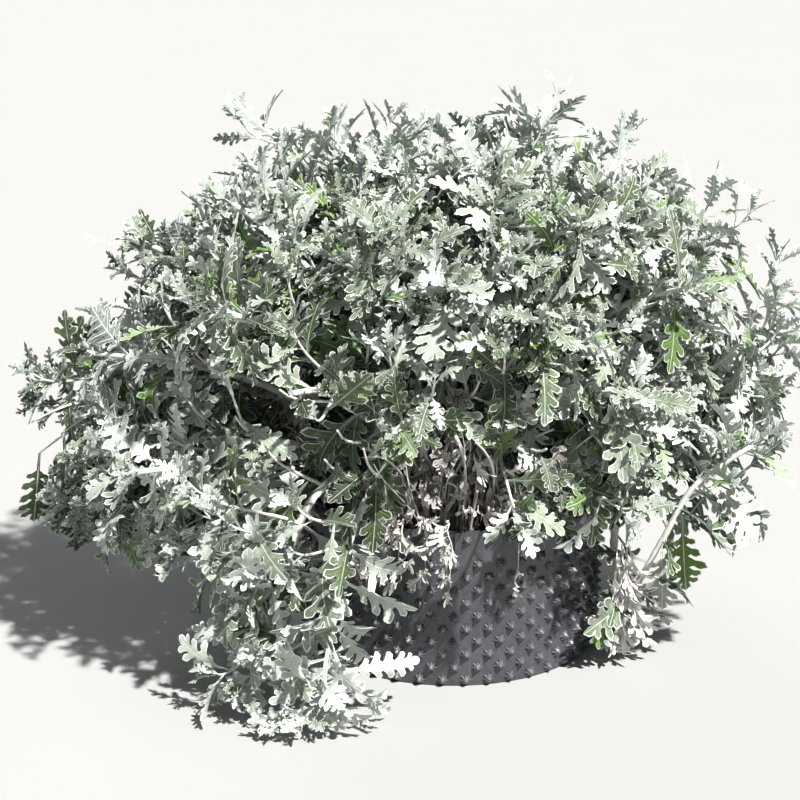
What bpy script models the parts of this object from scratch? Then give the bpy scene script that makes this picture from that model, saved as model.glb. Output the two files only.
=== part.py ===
"""A dusty miller bush in a round studded nursery pot.

Metres, +Z up. The origin is the centre of the pot's base, +X is to the right of the pot's front and
+Y is behind it. Every stem stands in its own hole in the soil and carries its own leaves.
"""

import math
import random

import bmesh
import bpy
from mathutils import Vector
from mathutils.bvhtree import BVHTree

# Pot: a studded sheet bent round a base plate
POT_RADIUS = 0.200
POT_HEIGHT = 0.205
STUD_DEPTH = 0.009
SHEET_THICKNESS = 0.003
STUDS_ROUND = 36
STUD_BANDS = 10
BASE_THICKNESS = 0.005
FIT_GAP = 0.0003
WALL_INSIDE = POT_RADIUS - STUD_DEPTH - SHEET_THICKNESS

# Soil, with a plain hole for each stem
SOIL_TOP = 0.182
HOLE_DEPTH = 0.040
HOLE_GAP = 0.0008

# Bush: where the stem tips stand round the pot's axis
STEM_COUNT = 32
GOLDEN_ANGLE = math.radians(137.508)
FIRST_AZIMUTH = math.radians(20)
LEFT_CROWDING = 0.25
TIP_CROWDING = 0.55
SHOULDER = 0.70
REACH_MEAN = 0.380
REACH_LEFT = 0.058
REACH_SIDES = 0.066
REACH_BACK = 0.030
CROWN_HEIGHT = 0.662
SKIRT_HEIGHT = 0.195
LEFT_DROP = 0.055
OPEN_FRONT = math.radians(292)
FRONT_LIFT = 0.215
ROOT_SPREAD = 0.152

# Stems
STEM_RADIUS_LOW = 0.0065
STEM_RADIUS_HIGH = 0.0036
STEM_POINTS = 7

# Three low stems lean over the rim: two trail to the ground at the front left, one sprawls on the right
TRAILING_LEFT = (
    (-0.100, -0.100, 0.235), (-0.138, -0.148, 0.264), (-0.180, -0.195, 0.237), (-0.207, -0.228, 0.160),
    (-0.225, -0.251, 0.085), (-0.247, -0.277, 0.042),
)
TRAILING_FRONT = (
    (-0.066, -0.132, 0.235), (-0.092, -0.181, 0.262), (-0.122, -0.228, 0.225), (-0.143, -0.263, 0.140),
    (-0.157, -0.292, 0.062), (-0.172, -0.325, 0.026),
)
SPRAWLING_RIGHT = (
    (0.130, -0.040, 0.235), (0.172, -0.056, 0.260), (0.204, -0.070, 0.215), (0.206, -0.080, 0.120),
    (0.206, -0.088, 0.042), (0.234, -0.098, 0.096), (0.266, -0.105, 0.165), (0.295, -0.110, 0.228),
    (0.335, -0.114, 0.266), (0.372, -0.116, 0.292),
)

# Leaves
LEAVES_PER_STEM = 5
LEAF_LENGTH = 0.126
YOUNG_LENGTH = 0.088
YOUNG_RANKS = 2
LEAF_THICKNESS = 0.0022
LEAF_CUP = 0.22
TIP_DISTANCE = 0.006
LEAF_SPACING = 0.013
SPACING_GROWTH = 1.6
FIRST_SPREAD = math.radians(22)
SPREAD_STEP = math.radians(11)
WIDEST_SPREAD = math.radians(72)
DROOP = 0.75
LEAF_SAG = 0.03
TURN_PLAY = 0.25
SPREAD_PLAY = 0.12
PLACING_TRIES = 18
SHRINK_PER_TRY = 0.018
CLEARANCE = 0.0009
FLOOR_GAP = 0.0010
SEED = 11

# Half outlines of a leaf, as shares of its length: each row is a narrow place beside the midrib, with the
# points of the lobe that follows it
FULL_LEAF = (
    ((0.00, 0.016), ()),
    ((0.26, 0.022), ((0.40, 0.165),)),
    ((0.43, 0.040), ((0.545, 0.255), (0.635, 0.240))),
    ((0.62, 0.052), ((0.745, 0.265), (0.845, 0.225))),
    ((0.79, 0.055), ((0.935, 0.125),)),
)
YOUNG_LEAF = (
    ((0.00, 0.021), ()),
    ((0.25, 0.028), ((0.430, 0.225), (0.530, 0.220))),
    ((0.50, 0.052), ((0.660, 0.245), (0.780, 0.205))),
    ((0.72, 0.056), ((0.905, 0.125),)),
)
UP = Vector((0, 0, 1))
SHARP_ANGLE = math.radians(40)


def clear_scene():
    for obj in list(bpy.data.objects):
        bpy.data.objects.remove(obj, do_unlink=True)


def new_collection(name, parent=None):
    collection = bpy.data.collections.new(name)
    (parent or bpy.context.scene.collection).children.link(collection)
    return collection


def material(name, colour, roughness):
    made = bpy.data.materials.new(name)
    made.use_nodes = True
    shader = made.node_tree.nodes["Principled BSDF"]
    shader.inputs["Base Color"].default_value = (*colour, 1)
    shader.inputs["Roughness"].default_value = roughness
    return made


def add_object(name, mesh, collection, finish=None):
    obj = bpy.data.objects.new(name, mesh)
    collection.objects.link(obj)
    if finish:
        mesh.materials.append(finish)
        mesh.shade_smooth()
        mesh.set_sharp_from_angle(angle=SHARP_ANGLE)
    return obj


def add_cutter(name, mesh, collection):
    obj = add_object(name, mesh, collection)
    obj.hide_render = True
    obj.display_type = "WIRE"
    return obj


def mesh_of(bm, name):
    mesh = bpy.data.meshes.new(name)
    bm.to_mesh(mesh)
    bm.free()
    return mesh


def cylinder_mesh(name, radius, low, high, sides):
    bm = bmesh.new()
    bmesh.ops.create_cone(bm, cap_ends=True, segments=sides, radius1=radius, radius2=radius, depth=high - low)
    bmesh.ops.translate(bm, verts=bm.verts, vec=(0, 0, (high + low) / 2))
    return mesh_of(bm, name)


def tube_mesh(name, points, radii):
    """A four-sided tube through the points, made from a curve with its caps welded on."""
    curve = bpy.data.curves.new(name, "CURVE")
    curve.dimensions = "3D"
    curve.bevel_depth = 1.0
    curve.bevel_resolution = 0
    curve.use_fill_caps = True
    spline = curve.splines.new("POLY")
    spline.points.add(len(points) - 1)
    for place, point, radius in zip(spline.points, points, radii):
        place.co = (*point, 1)
        place.radius = radius
    obj = add_object(name, curve, bpy.context.scene.collection)
    mesh = bpy.data.meshes.new_from_object(obj.evaluated_get(bpy.context.evaluated_depsgraph_get()))
    bpy.data.objects.remove(obj, do_unlink=True)
    bpy.data.curves.remove(curve)
    bm = bmesh.new()
    bm.from_mesh(mesh)
    bmesh.ops.remove_doubles(bm, verts=bm.verts, dist=0.00001)
    bmesh.ops.recalc_face_normals(bm, faces=bm.faces)
    bm.to_mesh(mesh)
    bm.free()
    return mesh


def boolean(obj, operation, other=None, collection=None):
    modifier = obj.modifiers.new(operation.lower(), "BOOLEAN")
    modifier.operation = operation
    modifier.solver = "EXACT"
    if collection:
        modifier.operand_type = "COLLECTION"
        modifier.collection = collection
    else:
        modifier.object = other


def apply_modifiers(obj):
    graph = bpy.context.evaluated_depsgraph_get()
    mesh = bpy.data.meshes.new_from_object(obj.evaluated_get(graph))
    obj.modifiers.clear()
    obj.data = mesh


def make_pot_wall(parts, cutters, finish):
    """The outside is a lattice whose every other point is drawn out into a stud."""
    columns = 2 * STUDS_ROUND
    bm = bmesh.new()
    rings = []
    for band in range(STUD_BANDS + 1):
        ring = []
        for column in range(columns):
            is_stud = 0 < band < STUD_BANDS and (band + column) % 2 == 0
            radius = POT_RADIUS if is_stud else POT_RADIUS - STUD_DEPTH
            turn = math.tau * column / columns
            height = POT_HEIGHT * band / STUD_BANDS
            ring.append(bm.verts.new((radius * math.cos(turn), radius * math.sin(turn), height)))
        rings.append(ring)
    for band in range(STUD_BANDS):
        for column in range(columns):
            following = (column + 1) % columns
            low, high = rings[band], rings[band + 1]
            square = [low[column], low[following], high[following], high[column]]
            if (band + column) % 2 == 0:
                square = square[1:] + square[:1]
            bm.faces.new(square[:3])
            bm.faces.new([square[0], square[2], square[3]])
    bm.faces.new(rings[0][::-1])
    bm.faces.new(rings[-1])
    bmesh.ops.recalc_face_normals(bm, faces=bm.faces)
    wall = add_object("pot_wall", mesh_of(bm, "pot_wall"), parts, finish)
    inside = cylinder_mesh("pot_inside", WALL_INSIDE, -POT_HEIGHT, 2 * POT_HEIGHT, STUDS_ROUND)
    boolean(wall, "DIFFERENCE", add_cutter("pot_inside", inside, cutters))
    apply_modifiers(wall)


def make_pot_base(parts, finish):
    mesh = cylinder_mesh("pot_base", WALL_INSIDE - FIT_GAP, 0, BASE_THICKNESS, STUDS_ROUND)
    add_object("pot_base", mesh, parts, finish)


def make_soil(parts, cutters, stems, finish):
    low = BASE_THICKNESS + FIT_GAP
    mesh = cylinder_mesh("soil", WALL_INSIDE - FIT_GAP, low, SOIL_TOP, STUDS_ROUND)
    soil = add_object("soil", mesh, parts, finish)
    holes = new_collection("stem_holes", cutters)
    for stem in stems:
        foot = stem.points[0]
        ends = [foot - UP * FIT_GAP, foot + UP * 2 * HOLE_DEPTH]
        radius = STEM_RADIUS_LOW + HOLE_GAP
        add_cutter("hole_" + stem.name, tube_mesh("stem_hole", ends, (radius, radius)), holes)
    boolean(soil, "DIFFERENCE", collection=holes)
    apply_modifiers(soil)


def bezier(knots, share):
    a, b, c, d = knots
    rest = 1 - share
    return a * rest**3 + b * 3 * rest * rest * share + c * 3 * rest * share * share + d * share**3


def smooth_line(knots, share):
    """A point on a smooth line through the knots, which are spread evenly over the share from 0 to 1."""
    place = min(share * (len(knots) - 1), len(knots) - 1.000001)
    step = int(place)
    t = place - step
    near = [knots[max(0, min(len(knots) - 1, step + k))] for k in (-1, 0, 1, 2)]
    a, b, c, d = near
    bend = (c - a) * t + (a * 2 - b * 5 + c * 4 - d) * t * t + (b * 3 - a - c * 3 + d) * t**3
    return b + bend / 2


class Stem:
    """A stem's line from its hole to its tip, with the leaves that it carries."""

    def __init__(self, name, number, line):
        self.name = name
        self.random = random.Random(SEED * 1000 + number)
        root = line[0]
        buried = Vector((root.x, root.y, SOIL_TOP - HOLE_DEPTH + FIT_GAP))
        self.points = [buried] + line
        count = len(self.points) - 1
        fall = STEM_RADIUS_LOW - STEM_RADIUS_HIGH
        self.radii = [STEM_RADIUS_LOW - fall * max(0, step - 1) / (count - 1) for step in range(count + 1)]
        self.turn = self.random.uniform(0, math.tau)
        self.leaves = []

    def back_from_tip(self, distance):
        """The point that far below the tip along the stem, and the stem's direction there."""
        left = distance
        for high, low in zip(self.points[::-1], self.points[-2::-1]):
            length = (high - low).length
            if left <= length:
                return high.lerp(low, left / length), (high - low).normalized()
            left -= length
        return self.points[0], UP


def dome_stem(number):
    """Stems fan out like the seeds of a sunflower, a little crowded to the left, and their tips make a dome
    with full shoulders: the outer ones lean further and end lower."""
    place = (number + 0.5) / STEM_COUNT
    fall = math.pi / 2 * place**TIP_CROWDING
    share = math.sin(fall) ** SHOULDER
    azimuth = FIRST_AZIMUTH + number * GOLDEN_ANGLE
    azimuth += LEFT_CROWDING * math.sin(azimuth)
    outward = Vector((math.cos(azimuth), math.sin(azimuth), 0))
    reach = REACH_MEAN - REACH_LEFT * outward.x + REACH_SIDES * math.cos(2 * azimuth) + REACH_BACK * outward.y
    skirt = SKIRT_HEIGHT + FRONT_LIFT * max(0, math.cos(azimuth - OPEN_FRONT)) ** 2
    height = skirt + (CROWN_HEIGHT - skirt) * math.cos(fall) ** SHOULDER
    height -= LEFT_DROP * share**2 * (1 - outward.x) / 2
    tip = outward * reach * share + UP * height
    root = outward * ROOT_SPREAD * math.sqrt(place) + UP * (SOIL_TOP + 0.004)
    lean = (outward * share * 1.15 + UP * (1.15 - share * 1.05)).normalized()
    rise = 0.10 + 0.06 * share
    knots = (root, root + UP * rise + outward * 0.03 * share, tip - lean * 0.17, tip)
    line = [bezier(knots, step / (STEM_POINTS - 1)) for step in range(STEM_POINTS)]
    return Stem(f"leafy_stem_{number + 1:02d}", number, line)


def leaning_stem(name, number, knots):
    knots = [Vector(knot) for knot in knots]
    root = Vector((knots[0].x, knots[0].y, SOIL_TOP + 0.004))
    knots = [root] + knots
    count = 2 * len(knots) - 1
    line = [smooth_line(knots, step / (count - 1)) for step in range(count)]
    return Stem(name, number, line)


class Leaf:
    """A lobed blade on a petiole, arched along its midrib and a little cupped across it."""

    def __init__(self, root, along, face, length, droop, outline):
        self.root = root
        self.along = along.normalized()
        self.side = self.along.cross(face).normalized()
        self.face = self.side.cross(self.along)
        self.length = length
        self.droop = droop
        self.outline = outline

    def point(self, share, across, lift):
        """A point by its share of the midrib, its distance across it and its height above the blade."""
        turn = self.droop * share
        reach = self.length / self.droop
        ridge = self.along * math.sin(turn) * reach - self.face * (1 - math.cos(turn)) * reach
        normal = self.face * math.cos(turn) + self.along * math.sin(turn)
        return self.root + ridge + self.side * across + normal * (lift + LEAF_CUP * abs(across))

    def faces(self, thickness, margin=0.0, first=0):
        """Vertices and triangles, split alike above and below. The margin widens the outline."""
        points = []
        triangles = []

        def add(share, across, lift):
            points.append(self.point(share, across, lift))
            return len(points) - 1

        shares = [narrow[0] for narrow, lobe in self.outline] + [1.0 + margin / self.length]
        above = [add(share, 0, thickness / 2) for share in shares[:-1]]
        below = [add(share, 0, -thickness / 2) for share in shares[:-1]]
        tip = add(shares[-1], 0, 0)
        ends = []
        for side in (1, -1):
            narrows = [add(u, side * (v * self.length + margin), 0) for (u, v), lobe in self.outline]
            ends.append(narrows[first])
            for step in range(first, len(self.outline)):
                lobe = [add(u, side * (v * self.length + margin), 0) for u, v in self.outline[step][1]]
                last = step == len(self.outline) - 1
                for ridge, turned in ((above, side), (below, -side)):
                    beyond = [tip] if last else [narrows[step + 1], ridge[step + 1]]
                    rim = [narrows[step]] + lobe + beyond
                    for one, other in zip(rim, rim[1:]):
                        triangles.append((ridge[step], one, other)[::turned])
        triangles.append((above[first], ends[1], ends[0]))
        triangles.append((below[first], ends[0], ends[1]))
        return points, triangles

    def mesh(self):
        points, triangles = self.faces(LEAF_THICKNESS)
        mesh = bpy.data.meshes.new("leaf")
        mesh.from_pydata(points, [], triangles)
        return mesh


class Block:
    """Something that a new leaf has to stay clear of."""

    def __init__(self, owner, points, triangles):
        self.owner = owner
        self.tree = BVHTree.FromPolygons(points, triangles)
        self.low = Vector(tuple(min(point[axis] for point in points) for axis in range(3)))
        self.high = Vector(tuple(max(point[axis] for point in points) for axis in range(3)))

    def meets(self, other):
        for axis in range(3):
            if self.low[axis] > other.high[axis] or other.low[axis] > self.high[axis]:
                return False
        return bool(self.tree.overlap(other.tree))


def block_of_mesh(owner, mesh):
    mesh.calc_loop_triangles()
    points = [vertex.co.copy() for vertex in mesh.vertices]
    return Block(owner, points, [tuple(triangle.vertices) for triangle in mesh.loop_triangles])


def leaf_for(stem, rank, attempt):
    """The leaf that grows at this rank below the tip. Each further attempt is looser and shorter."""
    vary = stem.random.uniform
    looseness = 1 + attempt / 3
    root, direction = stem.back_from_tip(TIP_DISTANCE + LEAF_SPACING * rank**SPACING_GROWTH)
    turn = stem.turn + rank * GOLDEN_ANGLE + vary(-TURN_PLAY, TURN_PLAY) * looseness
    first = direction.orthogonal().normalized()
    second = direction.cross(first)
    outward = first * math.cos(turn) + second * math.sin(turn)
    spread = min(WIDEST_SPREAD, FIRST_SPREAD + SPREAD_STEP * rank)
    spread += vary(-SPREAD_PLAY, SPREAD_PLAY) * looseness
    along = direction * math.cos(spread) + outward * math.sin(spread) - UP * LEAF_SAG * rank
    away = Vector((root.x, root.y, 0)).normalized()
    face = direction * 0.55 + UP * 0.85 + away * 0.35
    young = rank < YOUNG_RANKS
    length = (YOUNG_LENGTH if young else LEAF_LENGTH) * vary(0.90, 1.10)
    length *= 1 - SHRINK_PER_TRY * attempt
    return Leaf(root, along, face, length, DROOP * vary(0.6, 1.35), YOUNG_LEAF if young else FULL_LEAF)


def place_leaves(stems, blocks):
    """Leaves go on from the tips down, one to a stem at a time, each where it clears what stands already."""
    blades = []
    for rank in range(LEAVES_PER_STEM):
        for stem in stems:
            for attempt in range(PLACING_TRIES):
                leaf = leaf_for(stem, rank, attempt)
                whole = Block(stem, *leaf.faces(LEAF_THICKNESS + 2 * CLEARANCE, CLEARANCE))
                blade = Block(stem, *leaf.faces(LEAF_THICKNESS + 2 * CLEARANCE, CLEARANCE, first=1))
                if whole.low.z < FLOOR_GAP:
                    continue
                if any(block.owner is not stem and whole.meets(block) for block in blocks):
                    continue
                if any(block.owner is stem and blade.meets(block) for block in blades):
                    continue
                stem.leaves.append(leaf)
                blocks.append(whole)
                blades.append(blade)
                break


def make_stem(stem, mesh, parts, cutters, finish):
    """Each leaf's petiole starts inside the stem, and one union joins them."""
    obj = add_object(stem.name, mesh, parts, finish)
    leaves = new_collection("leaves_" + stem.name, cutters)
    made = [add_cutter("leaf", leaf.mesh(), leaves) for leaf in stem.leaves]
    boolean(obj, "UNION", collection=leaves)
    apply_modifiers(obj)
    for leaf in made:
        bpy.data.objects.remove(leaf, do_unlink=True)
    bpy.data.collections.remove(leaves)


def main():
    clear_scene()
    parts = new_collection("dusty_miller")
    cutters = new_collection("cutters")
    black_plastic = material("black_plastic", (0.045, 0.046, 0.050), 0.45)
    potting_soil = material("potting_soil", (0.055, 0.040, 0.030), 0.95)
    silver_felt = material("silver_felt", (0.55, 0.62, 0.54), 0.85)

    stems = [dome_stem(number) for number in range(STEM_COUNT)]
    stems.append(leaning_stem("trailing_stem_left", STEM_COUNT, TRAILING_LEFT))
    stems.append(leaning_stem("trailing_stem_front", STEM_COUNT + 1, TRAILING_FRONT))
    stems.append(leaning_stem("sprawling_stem_right", STEM_COUNT + 2, SPRAWLING_RIGHT))

    make_pot_wall(parts, cutters, black_plastic)
    make_pot_base(parts, black_plastic)
    make_soil(parts, cutters, stems, potting_soil)

    meshes = [tube_mesh(stem.name, stem.points, stem.radii) for stem in stems]
    stem_blocks = [block_of_mesh(stem, mesh) for stem, mesh in zip(stems, meshes)]
    pot_room = cylinder_mesh("pot_room", POT_RADIUS + CLEARANCE, -POT_HEIGHT, POT_HEIGHT, STUDS_ROUND)
    place_leaves(stems, [block_of_mesh(None, pot_room)] + stem_blocks)
    for stem, mesh in zip(stems, meshes):
        make_stem(stem, mesh, parts, cutters, silver_felt)


main()
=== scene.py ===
import math
import random

import bpy
import numpy as np
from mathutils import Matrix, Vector, kdtree, noise


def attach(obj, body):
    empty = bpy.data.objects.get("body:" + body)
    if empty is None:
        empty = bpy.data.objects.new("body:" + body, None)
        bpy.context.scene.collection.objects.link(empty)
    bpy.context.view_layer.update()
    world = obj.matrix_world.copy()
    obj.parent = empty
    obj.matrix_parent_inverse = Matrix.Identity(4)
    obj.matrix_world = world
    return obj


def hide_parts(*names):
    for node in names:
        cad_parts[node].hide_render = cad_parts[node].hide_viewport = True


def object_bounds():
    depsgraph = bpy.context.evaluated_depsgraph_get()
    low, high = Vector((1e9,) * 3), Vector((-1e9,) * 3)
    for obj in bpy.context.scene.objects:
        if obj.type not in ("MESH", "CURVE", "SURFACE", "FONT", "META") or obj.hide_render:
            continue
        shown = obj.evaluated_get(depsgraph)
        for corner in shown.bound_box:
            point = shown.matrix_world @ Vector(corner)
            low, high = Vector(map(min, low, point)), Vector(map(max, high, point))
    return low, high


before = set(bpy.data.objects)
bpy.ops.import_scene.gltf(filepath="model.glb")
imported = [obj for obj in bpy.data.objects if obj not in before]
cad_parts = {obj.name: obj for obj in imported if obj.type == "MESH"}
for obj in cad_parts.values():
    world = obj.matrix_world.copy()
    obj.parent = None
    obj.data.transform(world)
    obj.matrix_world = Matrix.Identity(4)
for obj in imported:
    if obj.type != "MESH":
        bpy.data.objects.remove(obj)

cadLow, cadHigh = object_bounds()
bpy.ops.object.select_all(action="DESELECT")

up = Vector((0, 0, 1))
lightward = Vector((0.41, -0.44, 0.80))
goldenAngle = math.radians(137.508)


def onCircle(azimuth, radius=1, height=0):
    return math.cos(azimuth) * radius, math.sin(azimuth) * radius, height


def outwardAt(azimuth):
    return Vector(onCircle(azimuth))


def awayFromAxis(point):
    return Vector((point.x, point.y, 0)).normalized()


def asideFrom(direction, turn):
    first = direction.orthogonal().normalized()
    return first * math.cos(turn) + direction.cross(first) * math.sin(turn)


def shake(chance, size):
    return Vector([chance.uniform(-size, size) for _ in range(3)])


# Where each stem stands and leans, as the frame has it
bush = {
    "stems": 32,
    "firstAzimuth": math.radians(20),
    "leftCrowding": 0.25,
    "tipCrowding": 0.55,
    "shoulder": 0.70,
    "reach": 0.380,
    "reachLeft": 0.058,
    "reachSides": 0.066,
    "reachBack": 0.030,
    "crownHeight": 0.662,
    "skirtHeight": 0.195,
    "leftDrop": 0.055,
    "openFront": math.radians(292),
    "frontLift": 0.215,
    "rootSpread": 0.152,
    "soilTop": 0.182,
    "holeDepth": 0.040,
    "fitGap": 0.0003,
    "aboveSoil": 0.004,
    "leanOut": 1.15,
    "leanUp": (1.15, 1.05),
    "rise": (0.10, 0.06),
    "bow": 0.03,
    "lastRun": 0.17,
    "linePoints": 7,
    "finePoints": 21,
    "seed": 11,
}

leaningStems = {
    "trailing_stem_left": (
        (-0.100, -0.100, 0.235), (-0.138, -0.148, 0.264), (-0.180, -0.195, 0.237), (-0.207, -0.228, 0.160),
        (-0.225, -0.251, 0.085), (-0.247, -0.277, 0.042),
    ),
    "trailing_stem_front": (
        (-0.066, -0.132, 0.235), (-0.092, -0.181, 0.262), (-0.122, -0.228, 0.225), (-0.143, -0.263, 0.140),
        (-0.157, -0.292, 0.062), (-0.172, -0.325, 0.026),
    ),
    "sprawling_stem_right": (
        (0.130, -0.040, 0.235), (0.172, -0.056, 0.260), (0.204, -0.070, 0.215), (0.206, -0.080, 0.120),
        (0.206, -0.088, 0.042), (0.234, -0.098, 0.096), (0.266, -0.105, 0.165), (0.295, -0.110, 0.228),
        (0.335, -0.114, 0.266), (0.372, -0.116, 0.292),
    ),
}

# How a leaf of the frame is drawn: the same draws in the same order find the same leaves again
frameLeaf = {
    "perStem": 5,
    "length": 0.126,
    "youngLength": 0.088,
    "youngRanks": 2,
    "cup": 0.22,
    "tipDistance": 0.006,
    "spacing": 0.013,
    "spacingGrowth": 1.6,
    "firstSpread": math.radians(22),
    "spreadStep": math.radians(11),
    "widestSpread": math.radians(72),
    "droop": 0.75,
    "sag": 0.03,
    "turnPlay": 0.25,
    "spreadPlay": 0.12,
    "lengthPlay": (0.90, 1.10),
    "droopPlay": (0.6, 1.35),
    "faceMix": (0.55, 0.85, 0.35),
    "tries": 18,
    "loosening": 3,
    "shrinkPerTry": 0.018,
    "match": 0.0006,
}


def bezier(knots, share):
    a, b, c, d = knots
    rest = 1 - share
    return a * rest**3 + b * 3 * rest * rest * share + c * 3 * rest * share * share + d * share**3


def smoothLine(knots, share):
    place = min(share * (len(knots) - 1), len(knots) - 1.000001)
    step = int(place)
    t = place - step
    a, b, c, d = [knots[max(0, min(len(knots) - 1, step + k))] for k in (-1, 0, 1, 2)]
    bend = (c - a) * t + (a * 2 - b * 5 + c * 4 - d) * t * t + (b * 3 - a - c * 3 + d) * t**3
    return b + bend / 2


def linePoints(shape, knots, count):
    return [shape(knots, step / (count - 1)) for step in range(count)]


class Stem:
    def __init__(self, name, number, line, fineLine):
        self.name = name
        self.number = number
        self.random = random.Random(bush["seed"] * 1000 + number)
        root = line[0]
        buried = Vector((root.x, root.y, bush["soilTop"] - bush["holeDepth"] + bush["fitGap"]))
        self.points = [buried] + line
        self.finePoints = [buried] + fineLine
        self.turn = self.random.uniform(0, math.tau)

    def backFromTip(self, distance, points=None):
        points = points or self.points
        left = distance
        for high, low in zip(points[::-1], points[-2::-1]):
            length = (high - low).length
            if left <= length:
                return high.lerp(low, left / length), (high - low).normalized()
            left -= length
        return points[0], up


def domeShape(place, azimuth):
    fall = math.pi / 2 * place ** bush["tipCrowding"]
    share = math.sin(fall) ** bush["shoulder"]
    azimuth += bush["leftCrowding"] * math.sin(azimuth)
    outward = outwardAt(azimuth)
    reach = bush["reach"] - bush["reachLeft"] * outward.x
    reach = reach + bush["reachSides"] * math.cos(2 * azimuth) + bush["reachBack"] * outward.y
    skirt = bush["skirtHeight"] + bush["frontLift"] * max(0, math.cos(azimuth - bush["openFront"])) ** 2
    height = skirt + (bush["crownHeight"] - skirt) * math.cos(fall) ** bush["shoulder"]
    height -= bush["leftDrop"] * share**2 * (1 - outward.x) / 2
    tip = outward * reach * share + up * height
    leanUp, leanUpLoss = bush["leanUp"]
    lean = (outward * share * bush["leanOut"] + up * (leanUp - share * leanUpLoss)).normalized()
    return tip, lean, share, outward


def domeStem(number):
    place = (number + 0.5) / bush["stems"]
    tip, lean, share, outward = domeShape(place, bush["firstAzimuth"] + number * goldenAngle)
    root = outward * bush["rootSpread"] * math.sqrt(place) + up * (bush["soilTop"] + bush["aboveSoil"])
    rise = bush["rise"][0] + bush["rise"][1] * share
    knots = (root, root + up * rise + outward * bush["bow"] * share, tip - lean * bush["lastRun"], tip)
    lines = [linePoints(bezier, knots, count) for count in (bush["linePoints"], bush["finePoints"])]
    return Stem(f"leafy_stem_{number + 1:02d}", number, *lines)


def leaningStem(name, number, knots):
    knots = [Vector(knot) for knot in knots]
    knots = [Vector((knots[0].x, knots[0].y, bush["soilTop"] + bush["aboveSoil"]))] + knots
    spans = len(knots) - 1
    lines = [linePoints(smoothLine, knots, spans * steps + 1) for steps in (2, 4)]
    return Stem(name, number, *lines)


def leafSpec(root, along, face, length, droop, **more):
    along = along.normalized()
    side = along.cross(face).normalized()
    spec = {"root": root, "along": along, "side": side, "face": side.cross(along), "length": length,
            "droop": droop, "cup": frameLeaf["cup"], "twist": 0.0, "curl": 0.0, "wave": 0.0, "phase": 0.0,
            "bend": 0.0, "loose": 0.0, "width": 1.0, "tone": 0.5, "age": 0.0, "kind": "full"}
    spec.update(more)
    return spec


def frameLeafSpec(stem, rank, attempt):
    look = frameLeaf
    vary = stem.random.uniform
    looseness = 1 + attempt / look["loosening"]
    root, direction = stem.backFromTip(look["tipDistance"] + look["spacing"] * rank ** look["spacingGrowth"])
    turn = stem.turn + rank * goldenAngle + vary(-look["turnPlay"], look["turnPlay"]) * looseness
    outward = asideFrom(direction, turn)
    spread = min(look["widestSpread"], look["firstSpread"] + look["spreadStep"] * rank)
    spread += vary(-look["spreadPlay"], look["spreadPlay"]) * looseness
    along = direction * math.cos(spread) + outward * math.sin(spread) - up * look["sag"] * rank
    alongPart, upPart, awayPart = look["faceMix"]
    face = direction * alongPart + up * upPart + awayFromAxis(root) * awayPart
    young = rank < look["youngRanks"]
    length = (look["youngLength"] if young else look["length"]) * vary(*look["lengthPlay"])
    length *= 1 - look["shrinkPerTry"] * attempt
    droop = look["droop"] * vary(*look["droopPlay"])
    return leafSpec(root, along, face, length, droop, kind="young" if young else "full")


def frameLeaves(stem):
    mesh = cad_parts[stem.name].data
    tree = kdtree.KDTree(len(mesh.vertices))
    for vertex in mesh.vertices:
        tree.insert(vertex.co, vertex.index)
    tree.balance()
    found = []
    for rank in range(frameLeaf["perStem"]):
        for attempt in range(frameLeaf["tries"]):
            spec = frameLeafSpec(stem, rank, attempt)
            reach = spec["length"] / spec["droop"]
            tip = spec["root"] + spec["along"] * math.sin(spec["droop"]) * reach
            tip -= spec["face"] * (1 - math.cos(spec["droop"])) * reach
            if tree.find(tip)[2] < frameLeaf["match"]:
                found.append(spec)
                break
    return found


# The outline of one lobe from its base side to its tip side: along it, and across it in half widths
toothedLobe = (
    (0.42, 0.66), (0.66, 1.00), (0.85, 0.92), (0.90, 0.46), (1.00, 0.22),
    (1.00, -0.22), (0.89, -0.50), (0.84, -0.90), (0.64, -1.00), (0.42, -0.64),
)
plainLobe = (
    (0.44, 0.70), (0.78, 1.00), (0.92, 0.50), (1.00, 0.00), (0.90, -0.55), (0.74, -1.00), (0.44, -0.68),
)
softLobe = ((0.45, 0.80), (0.84, 0.86), (1.00, 0.20), (0.94, -0.50), (0.72, -0.98), (0.44, -0.74))
roundLobe = ((0.46, 0.88), (0.90, 0.72), (1.00, 0.00), (0.88, -0.76), (0.44, -0.86))

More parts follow.
